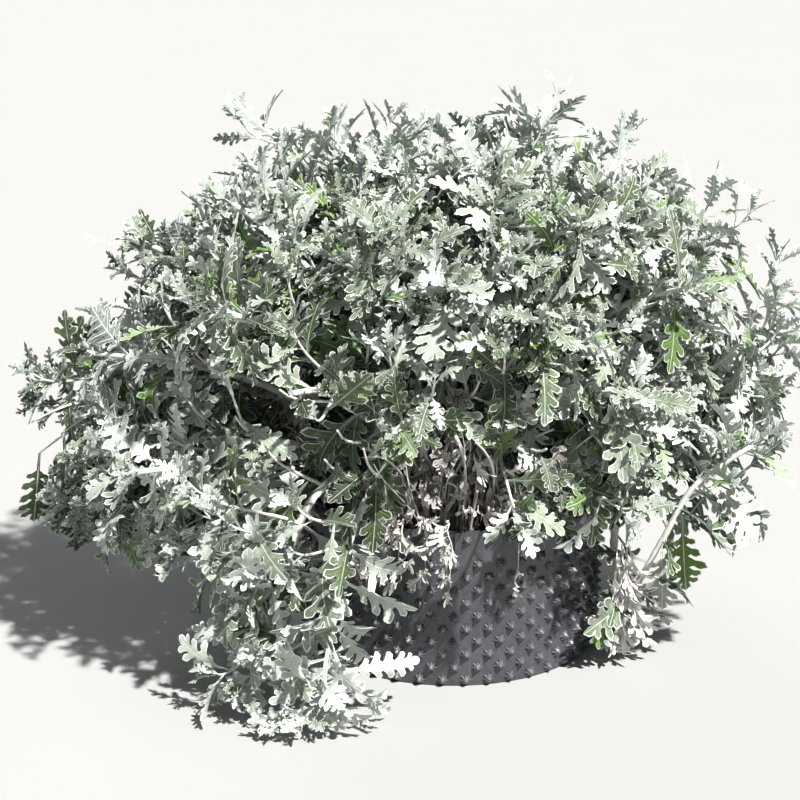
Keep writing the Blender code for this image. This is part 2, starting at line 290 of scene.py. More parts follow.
# Each lobe: the hollow before it (along, across), its root on the midrib, its tip (along, across)
# and its half width
leafKinds = {
    "full": {
        "inner": 0.00,
        "lobes": (
            (0.230, 0.022, 0.260, 0.345, 0.130, 0.036), (0.350, 0.034, 0.385, 0.490, 0.215, 0.050),
            (0.490, 0.046, 0.525, 0.655, 0.255, 0.056), (0.640, 0.052, 0.665, 0.800, 0.235, 0.052),
            (0.780, 0.052, 0.790, 0.905, 0.160, 0.042),
        ),
        "lastHollow": (0.870, 0.044),
        "tip": ((0.905, 0.060), (0.950, 0.066), (0.968, 0.030), (1.000, 0.000)),
        "lobe": toothedLobe,
    },
    "young": {
        "inner": 0.08,
        "lobes": (
            (0.240, 0.028, 0.290, 0.410, 0.170, 0.046), (0.410, 0.044, 0.455, 0.600, 0.225, 0.056),
            (0.590, 0.054, 0.625, 0.770, 0.215, 0.054), (0.750, 0.056, 0.770, 0.895, 0.150, 0.044),
        ),
        "lastHollow": (0.855, 0.048),
        "tip": ((0.900, 0.064), (0.950, 0.068), (0.965, 0.030), (1.000, 0.000)),
        "lobe": toothedLobe,
    },
    "side": {
        "inner": 0.15,
        "lobes": (
            (0.240, 0.026, 0.290, 0.400, 0.155, 0.046), (0.405, 0.042, 0.450, 0.580, 0.225, 0.057),
            (0.585, 0.052, 0.620, 0.755, 0.220, 0.056), (0.745, 0.054, 0.765, 0.890, 0.150, 0.046),
        ),
        "lastHollow": (0.850, 0.048),
        "tip": ((0.910, 0.066), (0.965, 0.050), (1.000, 0.000)),
        "lobe": plainLobe,
    },
    "long": {
        "inner": 0.30,
        "lobes": (
            (0.200, 0.028, 0.240, 0.310, 0.112, 0.038), (0.330, 0.040, 0.375, 0.465, 0.152, 0.045),
            (0.485, 0.048, 0.530, 0.620, 0.168, 0.048), (0.640, 0.050, 0.675, 0.765, 0.152, 0.046),
            (0.770, 0.048, 0.800, 0.885, 0.118, 0.038),
        ),
        "lastHollow": (0.868, 0.044),
        "tip": ((0.925, 0.056), (0.972, 0.042), (1.000, 0.000)),
        "lobe": roundLobe,
    },
    "small": {
        "inner": 0.30,
        "lobes": (
            (0.240, 0.032, 0.300, 0.450, 0.150, 0.054), (0.450, 0.050, 0.500, 0.670, 0.190, 0.060),
            (0.670, 0.058, 0.700, 0.860, 0.150, 0.052),
        ),
        "lastHollow": (0.830, 0.052),
        "tip": ((0.905, 0.070), (0.965, 0.052), (1.000, 0.000)),
        "lobe": softLobe,
    },
}
blade = {
    "stalk": 0.015, "top": 0.00045, "under": 0.0006, "ribUnder": 0.0013, "farFromVein": 0.06,
    "lobeMiddle": 0.62, "beforeHollow": 0.97, "pastCrown": 0.01, "tipVein": 0.8, "mostLobes": 6,
    "lobePlay": 0.16, "thinPart": 0.6, "thickPart": 0.4, "fullLength": 0.1, "curlGain": 1.6,
    "waveTurn": 6.3, "waves": 1.7, "waveFull": 0.25,
}


def leafPattern(kind):
    look = leafKinds[kind]
    rows, faces, slots = [], [], []

    def spot(u, v, thick, vein, lobe):
        rows.append((u, v, thick, look["inner"] if thick else 1.0, vein, lobe))
        return len(rows) - 1

    def inner(u, v, vein, lobe, under):
        return spot(u, v, blade["top"], vein, lobe), spot(u, v, -under, vein, lobe)

    def edge(u, v, vein, lobe):
        index = spot(u, v, 0.0, vein, lobe)
        return index, index

    def face(layer, corners):
        corners = [corner[layer] for corner in corners]
        flat = [rows[corner][:2] for corner in corners]
        area = sum(a[0] * b[1] - a[1] * b[0] for a, b in zip(flat, flat[1:] + flat[:1]))
        faces.append(corners if (area < 0) == (layer == 0) else corners[::-1])
        slots.append(layer)

    def fan(centre, chain):
        for layer in (0, 1):
            for a, b in zip(chain, chain[1:]):
                face(layer, (centre, a, b))

    far, rib = blade["farFromVein"], blade["ribUnder"]
    hollows = [(lobe[0], lobe[1]) for lobe in look["lobes"]] + [look["lastHollow"]]
    foot = inner(0, 0, far, 0, rib)
    mids = [inner(u * blade["beforeHollow"], 0, far, 0, rib) for u, v in hollows]
    roots = [inner(lobe[2], 0, 0.0, 0, rib) for lobe in look["lobes"]]
    crown = inner((look["lastHollow"][0] + 1) / 2 + blade["pastCrown"], 0, 0.0, 0, blade["under"])
    footEdges, tipChain = [], [mids[-1]]
    for sign in (1, -1):
        hollowEdges = [edge(u, v * sign, far, 0) for u, v in hollows]
        footEdge = edge(0, blade["stalk"] * sign, far, 0)
        footEdges.append(footEdge)
        for layer in (0, 1):
            face(layer, (foot, footEdge, hollowEdges[0], mids[0]))
        for number, (_, _, rootU, tipU, tipV, half) in enumerate(look["lobes"]):
            lobe = number + 1 if sign > 0 else -number - 1
            length = math.hypot(tipU - rootU, tipV)
            du, dv = (tipU - rootU) / length, tipV / length
            outline = []
            for s, t in look["lobe"]:
                u = rootU + s * (tipU - rootU) - t * half * dv
                v = s * tipV + t * half * du
                outline.append(edge(u, v * sign, abs(t) * half, lobe))
            part = blade["lobeMiddle"]
            middle = inner(rootU + part * (tipU - rootU), part * tipV * sign, 0.0, lobe, blade["under"])
            chain = [mids[number], hollowEdges[number], *outline, hollowEdges[number + 1], mids[number + 1]]
            fan(middle, chain + [roots[number], mids[number]])
        side = [edge(u, v * sign, v * blade["tipVein"], 0) for u, v in look["tip"][:-1]]
        if sign > 0:
            tipChain += [hollowEdges[-1], *side, edge(*look["tip"][-1], 0.0, 0)]
        else:
            tipChain += side[::-1] + [hollowEdges[-1], mids[-1]]
    fan(crown, tipChain)
    faces.append([foot[0], footEdges[0][0], foot[1], footEdges[1][0]])
    slots.append(1)
    table = np.array(rows)
    return {"u": table[:, 0], "v": table[:, 1], "thick": table[:, 2], "rim": table[:, 3], "vein": table[:, 4],
            "lobe": table[:, 5].astype(int), "faces": faces, "slots": slots}


patterns = {kind: leafPattern(kind) for kind in leafKinds}
print("leaf faces:", {kind: len(pattern["faces"]) for kind, pattern in patterns.items()})


def lobeDraws(lobe, chance):
    most = blade["mostLobes"]
    return np.array([chance.uniform(-1, 1) for _ in range(2 * most + 1)])[lobe + most]


def leafPoints(spec, chance):
    pattern = patterns[spec["kind"]]
    u, v, lobe = pattern["u"], pattern["v"], pattern["lobe"]
    stretch = 1 + blade["lobePlay"] * lobeDraws(lobe, chance)
    stretch[lobe == 0] = 1
    length = spec["length"]
    along, side, face = (np.array(spec[key]) for key in ("along", "side", "face"))
    angle = spec["droop"] * u
    reach = length / spec["droop"]
    ridge = np.outer(np.sin(angle) * reach, along) - np.outer((1 - np.cos(angle)) * reach, face)
    normal = np.outer(np.cos(angle), face) + np.outer(np.sin(angle), along)
    sides = np.tile(side, (len(u), 1))
    turn = (spec["twist"] * u)[:, None]
    sides, normal = sides * np.cos(turn) + normal * np.sin(turn), normal * np.cos(turn) - sides * np.sin(turn)
    across = v * length * stretch * spec["width"]
    lobeLift = lobeDraws(lobe, chance) * spec["loose"]
    thick = blade["thinPart"] + blade["thickPart"] * length / blade["fullLength"]
    lift = pattern["thick"] * thick + spec["cup"] * np.abs(across)
    lift = lift + (spec["curl"] + lobeLift) * across**2 / length * blade["curlGain"]
    wave = np.sin(blade["waveTurn"] * (blade["waves"] * u + spec["phase"]))
    lift = lift + spec["wave"] * wave * np.abs(v) / blade["waveFull"]
    bend = spec["bend"] * u**2 * length
    return np.array(spec["root"]) + ridge + sides * (across + bend)[:, None] + normal * lift[:, None]


class Gather:
    def __init__(self):
        self.points, self.faces, self.slots, self.marks = [], [], [], []
        self.count = 0

    def add(self, points, faces, slots, marks):
        first = self.count
        self.points.append(points)
        self.faces += [[first + corner for corner in face] for face in faces]
        self.slots += slots
        self.marks.append(marks)
        self.count += len(points)

    def leaf(self, spec, chance, onlySlot=None, anywhere=False):
        points = leafPoints(spec, chance)
        if not fits(points) or not anywhere and inPocket(points[len(points) // 2]):
            return False
        pattern = patterns[spec["kind"]]
        count = len(points)
        marks = np.column_stack([pattern["rim"], np.abs(pattern["v"]), pattern["vein"],
                                 np.full(count, spec["tone"]), np.full(count, spec["age"])])
        slots = pattern["slots"] if onlySlot is None else [onlySlot] * len(pattern["slots"])
        self.add(points, pattern["faces"], slots, marks)
        return True

    def tube(self, line, radii, sides, slot, tone, ages):
        rings, across = [], None
        for step, point in enumerate(line):
            ahead = (line[min(step + 1, len(line) - 1)] - line[max(step - 1, 0)]).normalized()
            across = ahead.orthogonal() if across is None else across - ahead * across.dot(ahead)
            across.normalize()
            other = ahead.cross(across)
            for corner in range(sides):
                turn = math.tau * corner / sides
                rings.append(point + (across * math.cos(turn) + other * math.sin(turn)) * radii[step])
        faces = []
        for step in range(len(line) - 1):
            for corner in range(sides):
                a, b = step * sides + corner, step * sides + (corner + 1) % sides
                faces.append([a, b, b + sides, a + sides])
        faces.append(list(range(sides))[::-1])
        faces.append([(len(line) - 1) * sides + corner for corner in range(sides)])
        count = len(rings)
        ages = np.repeat(np.broadcast_to(ages, len(line)), sides)
        far = np.ones(count)
        marks = np.column_stack([np.zeros(count), far, far, np.full(count, tone), ages])
        self.add(np.array(rings), faces, [slot] * len(faces), marks)


room = {
    "proud": 0.009, "floor": 0.0012, "potOut": 0.2035, "potTop": 0.2070, "potIn": 0.1860, "soilTop": 0.1880,
}
boxLow = np.array(cadLow) - room["proud"]
boxHigh = np.array(cadHigh) + room["proud"]


def fits(points):
    if (points < boxLow).any() or (points > boxHigh).any() or points[:, 2].min() < room["floor"]:
        return False
    low = points[points[:, 2] < room["potTop"]]
    if len(low) == 0:
        return True
    radius = np.hypot(low[:, 0], low[:, 1])
    inPot = (radius < room["potIn"]) & (low[:, 2] > room["soilTop"])
    return bool(((radius > room["potOut"]) | inPot).all())


# Dark gaps in the front of the bush, where only stems and dead leaves show: middle and half axes
pockets = (
    ((-0.250, -0.200, 0.378), (0.082, 0.200, 0.046)), ((-0.150, -0.210, 0.352), (0.072, 0.200, 0.048)),
    ((-0.020, -0.200, 0.280), (0.100, 0.180, 0.056)), ((-0.190, -0.190, 0.262), (0.062, 0.130, 0.034)),
    ((0.020, -0.220, 0.400), (0.055, 0.110, 0.040)), ((0.110, -0.230, 0.330), (0.045, 0.090, 0.030)),
    ((-0.330, -0.120, 0.470), (0.040, 0.090, 0.028)), ((0.190, -0.160, 0.470), (0.035, 0.080, 0.028)),
    ((-0.090, -0.180, 0.500), (0.035, 0.080, 0.026)), ((-0.380, -0.100, 0.250), (0.045, 0.090, 0.026)),
)
pocketMiddles = np.array([pocket[0] for pocket in pockets])
pocketAxes = np.array([pocket[1] for pocket in pockets])


def inPocket(point):
    return bool(((((point - pocketMiddles) / pocketAxes) ** 2).sum(axis=1) < 1).any())


attributeNames = ("rim", "midrib", "lobeVein", "tone", "age")
leafSharpAngle = math.radians(80)


def placePiece(piece, node=None):
    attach(piece, "root")
    if node:
        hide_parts(node)


def newPiece(name, points, faces, materials):
    mesh = bpy.data.meshes.new(name)
    mesh.from_pydata(points, [], faces)
    for material in materials:
        mesh.materials.append(material)
    piece = bpy.data.objects.new(name, mesh)
    bpy.context.collection.objects.link(piece)
    return piece


def addAttribute(mesh, label, values):
    layer = mesh.attributes.new(label, "FLOAT", "POINT")
    layer.data.foreach_set("value", np.ascontiguousarray(values, dtype=np.float32))


# Many copies of one block, each given by its own points
def joinBlocks(blocks, faces):
    size = len(blocks[0])
    firsts = range(0, size * len(blocks), size)
    joined = [[first + corner for corner in face] for first in firsts for face in faces]
    return np.concatenate(blocks).tolist(), joined


def makePiece(name, gather, materials, node=None):
    piece = newPiece(name, np.concatenate(gather.points).tolist(), gather.faces, materials)
    mesh = piece.data
    mesh.polygons.foreach_set("material_index", gather.slots)
    marks = np.concatenate(gather.marks)
    for column, label in enumerate(attributeNames):
        addAttribute(mesh, label, marks[:, column])
    mesh.shade_smooth()
    mesh.set_sharp_from_angle(angle=leafSharpAngle)
    placePiece(piece, node)


# Materials: one felt group and one grime group serve every piece of the plant and its pot

def newGroup(name, inputs, outputs):
    group = bpy.data.node_groups.new(name, "ShaderNodeTree")
    for label, kind, value in inputs:
        socket = group.interface.new_socket(label, in_out="INPUT", socket_type=kind)
        socket.default_value = value
    for label, kind in outputs:
        group.interface.new_socket(label, in_out="OUTPUT", socket_type=kind)
    return group, group.nodes.new("NodeGroupInput").outputs, group.nodes.new("NodeGroupOutput").inputs


# A socket gets a link, a colour or a number
def feed(tree, socket, value):
    if isinstance(value, bpy.types.NodeSocket):
        tree.links.new(value, socket)
    else:
        socket.default_value = (*value, 1) if isinstance(value, tuple) else value


def noiseNode(tree, where, scale, detail, rough=0.55):
    node = tree.nodes.new("ShaderNodeTexNoise")
    for label, value in (("Vector", where), ("Scale", scale), ("Detail", detail), ("Roughness", rough)):
        feed(tree, node.inputs[label], value)
    return node.outputs["Fac"]


def mathNode(tree, kind, *values, clamp=False):
    node = tree.nodes.new("ShaderNodeMath")
    node.operation = kind
    node.use_clamp = clamp
    for socket, value in zip(node.inputs, values):
        feed(tree, socket, value)
    return node.outputs[0]


def rangeNode(tree, value, low, high, to=(0.0, 1.0)):
    node = tree.nodes.new("ShaderNodeMapRange")
    node.interpolation_type = "SMOOTHSTEP"
    for label, number in zip(("Value", "From Min", "From Max", "To Min", "To Max"), (value, low, high, *to)):
        feed(tree, node.inputs[label], number)
    return node.outputs["Result"]


def mixNode(tree, factor, a, b):
    node = tree.nodes.new("ShaderNodeMix")
    node.data_type = "RGBA"
    for place, value in ((0, factor), (6, a), (7, b)):
        feed(tree, node.inputs[place], value)
    return node.outputs[2]


def rampNode(tree, value, stops):
    node = tree.nodes.new("ShaderNodeValToRGB")
    ramp = node.color_ramp
    while len(ramp.elements) < len(stops):
        ramp.elements.new(0.5)
    for element, (place, colour) in zip(ramp.elements, stops):
        element.position = place
        element.color = (*colour, 1)
    tree.links.new(value, node.inputs["Fac"])
    return node.outputs["Color"]


def attributeNode(tree, name):
    node = tree.nodes.new("ShaderNodeAttribute")
    node.attribute_name = name
    return node.outputs["Fac"]


def objectPlace(tree):
    return tree.nodes.new("ShaderNodeTexCoord").outputs["Object"]


# A group's inputs are fed by name, and its outputs are returned
def groupNode(tree, group, inputs):
    node = tree.nodes.new("ShaderNodeGroup")
    node.node_tree = group
    for label, value in inputs.items():
        feed(tree, node.inputs[label], value)
    return node.outputs


def scaledNode(tree, value, gain, shift):
    return mathNode(tree, "MULTIPLY_ADD", value, gain, shift)


feltWear = {"gain": 0.9, "shift": -0.45, "fibre": (3, 0.7), "patch": (3, 0.6)}


def feltGroup():
    group, given, result = newGroup(
        "feltCoat",
        (("Place", "NodeSocketVector", (0, 0, 0)), ("Colour", "NodeSocketColor", (0.5, 0.5, 0.5, 1)),
         ("Felt", "NodeSocketColor", (0.8, 0.8, 0.8, 1)), ("Cover", "NodeSocketFloat", 0.5),
         ("Fibre Scale", "NodeSocketFloat", 900.0), ("Patch Scale", "NodeSocketFloat", 60.0)),
        (("Colour", "NodeSocketColor"), ("Height", "NodeSocketFloat")))
    fibre = noiseNode(group, given["Place"], given["Fibre Scale"], *feltWear["fibre"])
    patch = noiseNode(group, given["Place"], given["Patch Scale"], *feltWear["patch"])
    worn, tuft = (scaledNode(group, noise, feltWear["gain"], feltWear["shift"]) for noise in (patch, fibre))
    cover = mathNode(group, "ADD", mathNode(group, "ADD", given["Cover"], worn), tuft, clamp=True)
    feed(group, result["Colour"], mixNode(group, cover, given["Colour"], given["Felt"]))
    feed(group, result["Height"], fibre)
    return group


grimeWear = {
    "clouds": (6, 0.65), "fine": (2, 0.6), "speckFrom": 0.78, "moreSpecks": 0.22, "speckEdge": 0.06,
    "speckClouds": (0.35, 0.62), "dustClouds": (0.42, 0.75),
}


def grimeGroup():
    group, given, result = newGroup(
        "grime",
        (("Place", "NodeSocketVector", (0, 0, 0)), ("Speck Scale", "NodeSocketFloat", 700.0),
         ("Cloud Scale", "NodeSocketFloat", 18.0), ("Amount", "NodeSocketFloat", 0.4)),
        (("Specks", "NodeSocketFloat"), ("Clouds", "NodeSocketFloat")))
    clouds = noiseNode(group, given["Place"], given["Cloud Scale"], *grimeWear["clouds"])
    fine = noiseNode(group, given["Place"], given["Speck Scale"], *grimeWear["fine"])
    fewer = mathNode(group, "MULTIPLY", given["Amount"], grimeWear["moreSpecks"])
    fewer = mathNode(group, "SUBTRACT", grimeWear["speckFrom"], fewer)
    specks = rangeNode(group, fine, fewer, mathNode(group, "ADD", fewer, grimeWear["speckEdge"]))
    specks = mathNode(group, "MULTIPLY", specks, rangeNode(group, clouds, *grimeWear["speckClouds"]))
    dust = mathNode(group, "MULTIPLY", rangeNode(group, clouds, *grimeWear["dustClouds"]), given["Amount"])
    feed(group, result["Specks"], specks)
    feed(group, result["Clouds"], dust)
    return group


felt, grime = feltGroup(), grimeGroup()


def newMaterial(name, roughness, sheen=0.0, specular=0.5):
    material = bpy.data.materials.new(name)
    material.use_nodes = True
    shader = material.node_tree.nodes["Principled BSDF"]
    for label, value in (("Roughness", roughness), ("Sheen Weight", sheen), ("Sheen Roughness", 0.5),
                         ("Specular IOR Level", specular)):
        shader.inputs[label].default_value = value
    return material, material.node_tree, shader


def bumpInto(tree, shader, height, distance):
    bump = tree.nodes.new("ShaderNodeBump")
    bump.inputs["Strength"].default_value = 1.0
    bump.inputs["Distance"].default_value = distance
    tree.links.new(height, bump.inputs["Height"])
    tree.links.new(bump.outputs["Normal"], shader.inputs["Normal"])


# A felt without veins or a white rim, which the looks below add to
plainFelt = {
    "thinnerLobeVein": 0.0, "vein": (-2.0, -1.0), "rim": (2.0, 3.0), "veinWhite": 0.0, "rimWhite": 0.0,
    "rimByTone": 0.0, "rimLostByAge": 0.0, "white": (0.7, 0.7, 0.7), "veinHeight": 0.0,
    "rimNoise": 160.0, "rimUneven": (0.22, -0.11),
}


def feltMaterial(name, look):
    look = {**plainFelt, **look}
    material, tree, shader = newMaterial(name, look["roughness"], look["sheen"], look["specular"])
    place = objectPlace(tree)
    tone, age, rim, midrib, lobeVein = (
        attributeNode(tree, label) for label in ("tone", "age", "rim", "midrib", "lobeVein"))
    # The tone attribute holds felt and painted light and shade: it sets the colour and the felt cover
    coat = groupNode(tree, felt, {
        "Place": place, "Colour": mixNode(tree, age, rampNode(tree, tone, look["tones"]), look["aged"]),
        "Felt": look["felt"], "Cover": scaledNode(tree, tone, look["coverByTone"], look["cover"]),
        "Fibre Scale": look["fibreScale"], "Patch Scale": look["patchScale"]})
    vein = mathNode(tree, "MINIMUM", midrib, mathNode(tree, "ADD", lobeVein, look["thinnerLobeVein"]))
    vein = mathNode(tree, "SUBTRACT", 1.0, rangeNode(tree, vein, *look["vein"]))
    uneven = scaledNode(tree, noiseNode(tree, place, look["rimNoise"], 2), *look["rimUneven"])
    rim = rangeNode(tree, mathNode(tree, "ADD", rim, uneven), *look["rim"])
    # Rims less white on darker tones, so they fade on leaves in painted shade
    whiteness = mathNode(tree, "MULTIPLY", scaledNode(tree, tone, look["rimByTone"], look["rimWhite"]),
                         scaledNode(tree, age, -look["rimLostByAge"], 1.0))
    line = mathNode(tree, "MAXIMUM", mathNode(tree, "MULTIPLY", vein, look["veinWhite"]),
                    mathNode(tree, "MULTIPLY", rim, whiteness, clamp=True))
    feed(tree, shader.inputs["Base Color"], mixNode(tree, line, coat["Colour"], look["white"]))
    bumpInto(tree, shader, scaledNode(tree, vein, look["veinHeight"], coat["Height"]), look["bump"])
    return material


leafTop = feltMaterial("leafTop", {
    "roughness": 0.62, "sheen": 0.10, "specular": 0.4,
    "tones": ((0.0, (0.012, 0.024, 0.007)), (0.30, (0.042, 0.068, 0.026)), (0.60, (0.135, 0.172, 0.118)),
              (1.0, (0.36, 0.405, 0.355))),
    "aged": (0.080, 0.175, 0.013), "felt": (0.69, 0.73, 0.69), "cover": -0.26, "coverByTone": 0.64,
    "fibreScale": 1100.0, "patchScale": 75.0, "thinnerLobeVein": 0.007, "vein": (0.003, 0.011),
    "rim": (0.79, 0.92), "veinWhite": 0.36, "rimWhite": 0.42, "rimByTone": 0.62, "rimLostByAge": 0.35,
    "white": (0.91, 0.93, 0.90), "veinHeight": -0.8, "bump": 0.0004,
})
leafUnder = feltMaterial("leafUnder", {
    "roughness": 0.8, "sheen": 0.15, "specular": 0.3,
    "tones": ((0.0, (0.07, 0.10, 0.08)), (0.5, (0.18, 0.23, 0.21)), (1.0, (0.42, 0.48, 0.45))),
    "aged": (0.10, 0.16, 0.07), "felt": (0.52, 0.58, 0.56), "cover": 0.08, "coverByTone": 0.45,
    "fibreScale": 1100.0, "patchScale": 80.0, "thinnerLobeVein": 0.004, "vein": (0.006, 0.016),
    "rim": (0.80, 0.93), "veinWhite": 0.7, "rimWhite": 0.70, "rimByTone": 0.25, "rimLostByAge": 0.2,
    "white": (0.86, 0.89, 0.85), "veinHeight": 1.2, "bump": 0.0005,
})
stemFelt = feltMaterial("stemFelt", {
    "roughness": 0.8, "sheen": 0.2, "specular": 0.3,
    "tones": ((0.0, (0.24, 0.25, 0.19)), (1.0, (0.62, 0.64, 0.57))),
    "aged": (0.10, 0.075, 0.048), "felt": (0.76, 0.78, 0.72), "cover": 0.15, "coverByTone": 0.5,
    "fibreScale": 700.0, "patchScale": 45.0, "bump": 0.0006,
})
dryLeaf = feltMaterial("dryLeaf", {
    "roughness": 0.85, "sheen": 0.1, "specular": 0.25,
    "tones": ((0.0, (0.045, 0.035, 0.025)), (0.45, (0.17, 0.145, 0.115)), (1.0, (0.62, 0.61, 0.58))),
    "aged": (0.085, 0.062, 0.042), "felt": (0.72, 0.71, 0.68), "cover": 0.0, "coverByTone": 0.6,
    "fibreScale": 800.0, "patchScale": 55.0, "thinnerLobeVein": 0.004, "vein": (0.006, 0.013),
    "rim": (0.80, 0.95), "veinWhite": 0.5, "rimWhite": 0.7, "white": (0.78, 0.77, 0.74),
    "veinHeight": 0.8, "bump": 0.0006,
})
foliageSlots = (leafTop, leafUnder, stemFelt, dryLeaf)


def grimyMaterial(name, look):
    look = {"wear": 0.0, "worn": (0, 0, 0), "speckHeight": 0.6, "dustAt": (0.0, 0.6), **look}
    material, tree, shader = newMaterial(name, look["roughness"][0], specular=look["specular"])
    place = objectPlace(tree)
    dirt = groupNode(tree, grime, {"Place": place, "Speck Scale": look["speckScale"],
                                   "Cloud Scale": look["cloudScale"], "Amount": look["amount"]})
    grain = noiseNode(tree, place, look["grainScale"], 4)
    colour = mixNode(tree, dirt["Clouds"], rampNode(tree, grain, look["tones"]), look["dust"])
    # The worn colour on the stud ribs, lighter towards their tips, is partly wear and partly painted
    # highlight
    wear = mathNode(tree, "MULTIPLY", attributeNode(tree, "worn"), look["wear"])
    colour = mixNode(tree, wear, colour, look["worn"])
    feed(tree, shader.inputs["Base Color"], mixNode(tree, dirt["Specks"], colour, look["speck"]))
    rough = rangeNode(tree, dirt["Clouds"], *look["dustAt"], to=look["roughness"])
    feed(tree, shader.inputs["Roughness"], rough)
    bumpInto(tree, shader, scaledNode(tree, dirt["Specks"], look["speckHeight"], grain), look["bump"])
    return material


potPlastic = grimyMaterial("potPlastic", {
    "roughness": (0.31, 0.55), "specular": 0.55, "speckScale": 520.0, "cloudScale": 20.0, "amount": 0.42,
    "wear": 0.7, "worn": (0.18, 0.18, 0.19), "grainScale": 260.0,
    "tones": ((0.3, (0.036, 0.038, 0.045)), (0.7, (0.062, 0.065, 0.075))),
    "dust": (0.100, 0.102, 0.110), "speck": (0.46, 0.45, 0.42), "bump": 0.0003,
})
pottingMix = grimyMaterial("pottingMix", {
    "roughness": (0.9, 1.0), "specular": 0.2, "speckScale": 300.0, "cloudScale": 60.0, "amount": 0.6,
    "grainScale": 180.0, "tones": ((0.3, (0.018, 0.012, 0.008)), (0.7, (0.075, 0.052, 0.034))),
    "dust": (0.11, 0.085, 0.06), "speck": (0.30, 0.25, 0.18), "bump": 0.002,
})
bark = grimyMaterial("bark", {
    "roughness": (0.8, 0.95), "specular": 0.25, "speckScale": 500.0, "cloudScale": 50.0, "amount": 0.6,
    "grainScale": 220.0, "tones": ((0.3, (0.085, 0.060, 0.038)), (0.7, (0.24, 0.19, 0.135))),
    "dust": (0.34, 0.31, 0.25), "speck": (0.48, 0.45, 0.38), "bump": 0.0008,
})
print("materials made")

stems = [domeStem(number) for number in range(bush["stems"])]
for extra, (name, knots) in enumerate(leaningStems.items()):
    stems.append(leaningStem(name, bush["stems"] + extra, knots))

# What grows on each stem beside the frame's leaves
growth = {
    "seed": 7000, "frameLeafSize": 0.76, "agedShare": 0.14, "agedLeaf": 0.85,
    "leafStep": 0.0138, "stepGrowth": 0.8, "firstLeaf": 0.020, "bareShare": 0.20, "fullLengthFrom": 2.2,
    "lengths": (0.052, 0.102), "lengthPlay": (0.82, 1.08), "spread": (46, 84), "openThinning": 0.85,
    "tries": 3, "turnPerTry": 0.5, "shrinkPerTry": 0.12, "ageing": 0.8,
    "crownLeaves": 6, "crownLengths": (0.022, 0.055), "crownStart": 0.002, "crownStep": 0.003,
    "crownSpread": 8, "crownSpreadStep": 9,
    "openAzimuth": math.radians(258), "openWidth": math.radians(32), "openBelow": 0.335, "openWithin": 0.26,
    "darkWithin": 0.09, "darkBelow": 0.36,
    # Dead leaves drawn dark: partly their own brown, partly painted shade inside the bush
    "deadLeaves": 11, "deadFrom": (0.34, 0.86), "deadLengths": (0.018, 0.048), "deadTones": (0.0, 0.75),
    "deadSag": 0.9,
}
body = {
    "low": 0.0065, "high": 0.0034, "sides": 8, "ringStep": 0.006, "leastRings": 12, "knobs": 0.14,
    "knobBeat": 2.4, "knobFade": 0.6, "knobPlay": 0.04, "endSize": 0.55, "tone": 0.75,
    "woody": 0.45, "woodyLying": 0.75, "barkAge": 0.9,
}

# Side shoots: spread over the bush's outside, some low at the right and the spikes given one by one
shoot = {
    "seed": 77, "count": 240, "reach": (0.075, 0.135), "crowding": 0.60, "stand": (-0.078, -0.012),
    "azimuthPlay": 0.1, "outermost": 0.999, "above": 0.23, "firstStep": 6, "nearest": 0.035, "farthest": 0.23,
    "startLean": (0.8, 0.35), "headingLean": (0.4, 0.2),
    "low": 34, "lowAzimuth": (278, 352), "lowRadius": (0.18, 0.30), "lowHeight": (0.235, 0.37),
    "lowLean": (0.9, 0.3), "spikeHeart": 0.25,
    "radius": 0.0020, "points": 9, "bow": 0.35, "lean": (0.6, 0.5), "taper": (1.3, 0.65), "sides": 6,
    "tone": 0.85, "leafStep": 0.0092, "bare": 0.22, "leastLeaves": 6, "lengths": (0.034, 0.095),
    "lengthPlay": (0.86, 1.14), "firstSize": 0.12, "sizeGrowth": 1.25, "budLeaves": 3, "budSize": 0.3,
    "opening": (9, 66), "openingBend": 0.75, "firstOpening": 0.10, "closedAbove": 0.42, "closingSpan": 0.2,
    "closing": 26, "spreadPlay": 0.2, "whiter": (-0.34, 0.40), "smallBelow": 0.032,
    "slimAbove": 0.46, "slimShares": (0.18, 0.85), "slimLonger": 1.1,
    "more": (1, 3), "moreFrom": (0.04, 0.20), "moreLength": (0.045, 0.10), "moreAlong": 0.8,
    "moreOut": (0.1, 0.9), "moreUp": (-0.1, 0.4), "moreShake": 0.5,
    "spikes": (
        (-0.535, -0.02, 0.355), (-0.545, -0.03, 0.250), (-0.520, -0.04, 0.200), (-0.500, -0.06, 0.200),
        (-0.460, -0.10, 0.205), (-0.430, -0.12, 0.215), (-0.530, 0.02, 0.300), (-0.270, 0.10, 0.655),
        (0.135, 0.12, 0.692), (-0.080, 0.10, 0.652), (-0.150, 0.08, 0.648), (0.412, 0.02, 0.492),
        (0.410, -0.02, 0.410), (0.220, 0.06, 0.640), (0.330, 0.04, 0.570), (-0.540, -0.02, 0.205),
        (0.415, -0.03, 0.340), (0.410, 0.00, 0.440), (0.385, -0.05, 0.300), (0.400, -0.04, 0.260),
        (0.375, 0.03, 0.550), (0.425, 0.02, 0.380), (-0.285, -0.270, 0.052), (-0.245, -0.250, 0.129),
        (-0.237, -0.240, 0.175), (-0.198, -0.330, 0.022), (-0.112, -0.310, 0.034), (-0.145, -0.280, 0.117),
        (-0.250, -0.280, 0.040), (-0.262, -0.240, 0.090), (-0.160, -0.300, 0.060), (-0.220, -0.300, 0.090),
        (-0.190, -0.250, 0.200), (-0.280, -0.200, 0.190), (-0.350, -0.160, 0.205), (-0.320, -0.180, 0.230),
    ),
}
stemSlot, drySlot = 2, 3

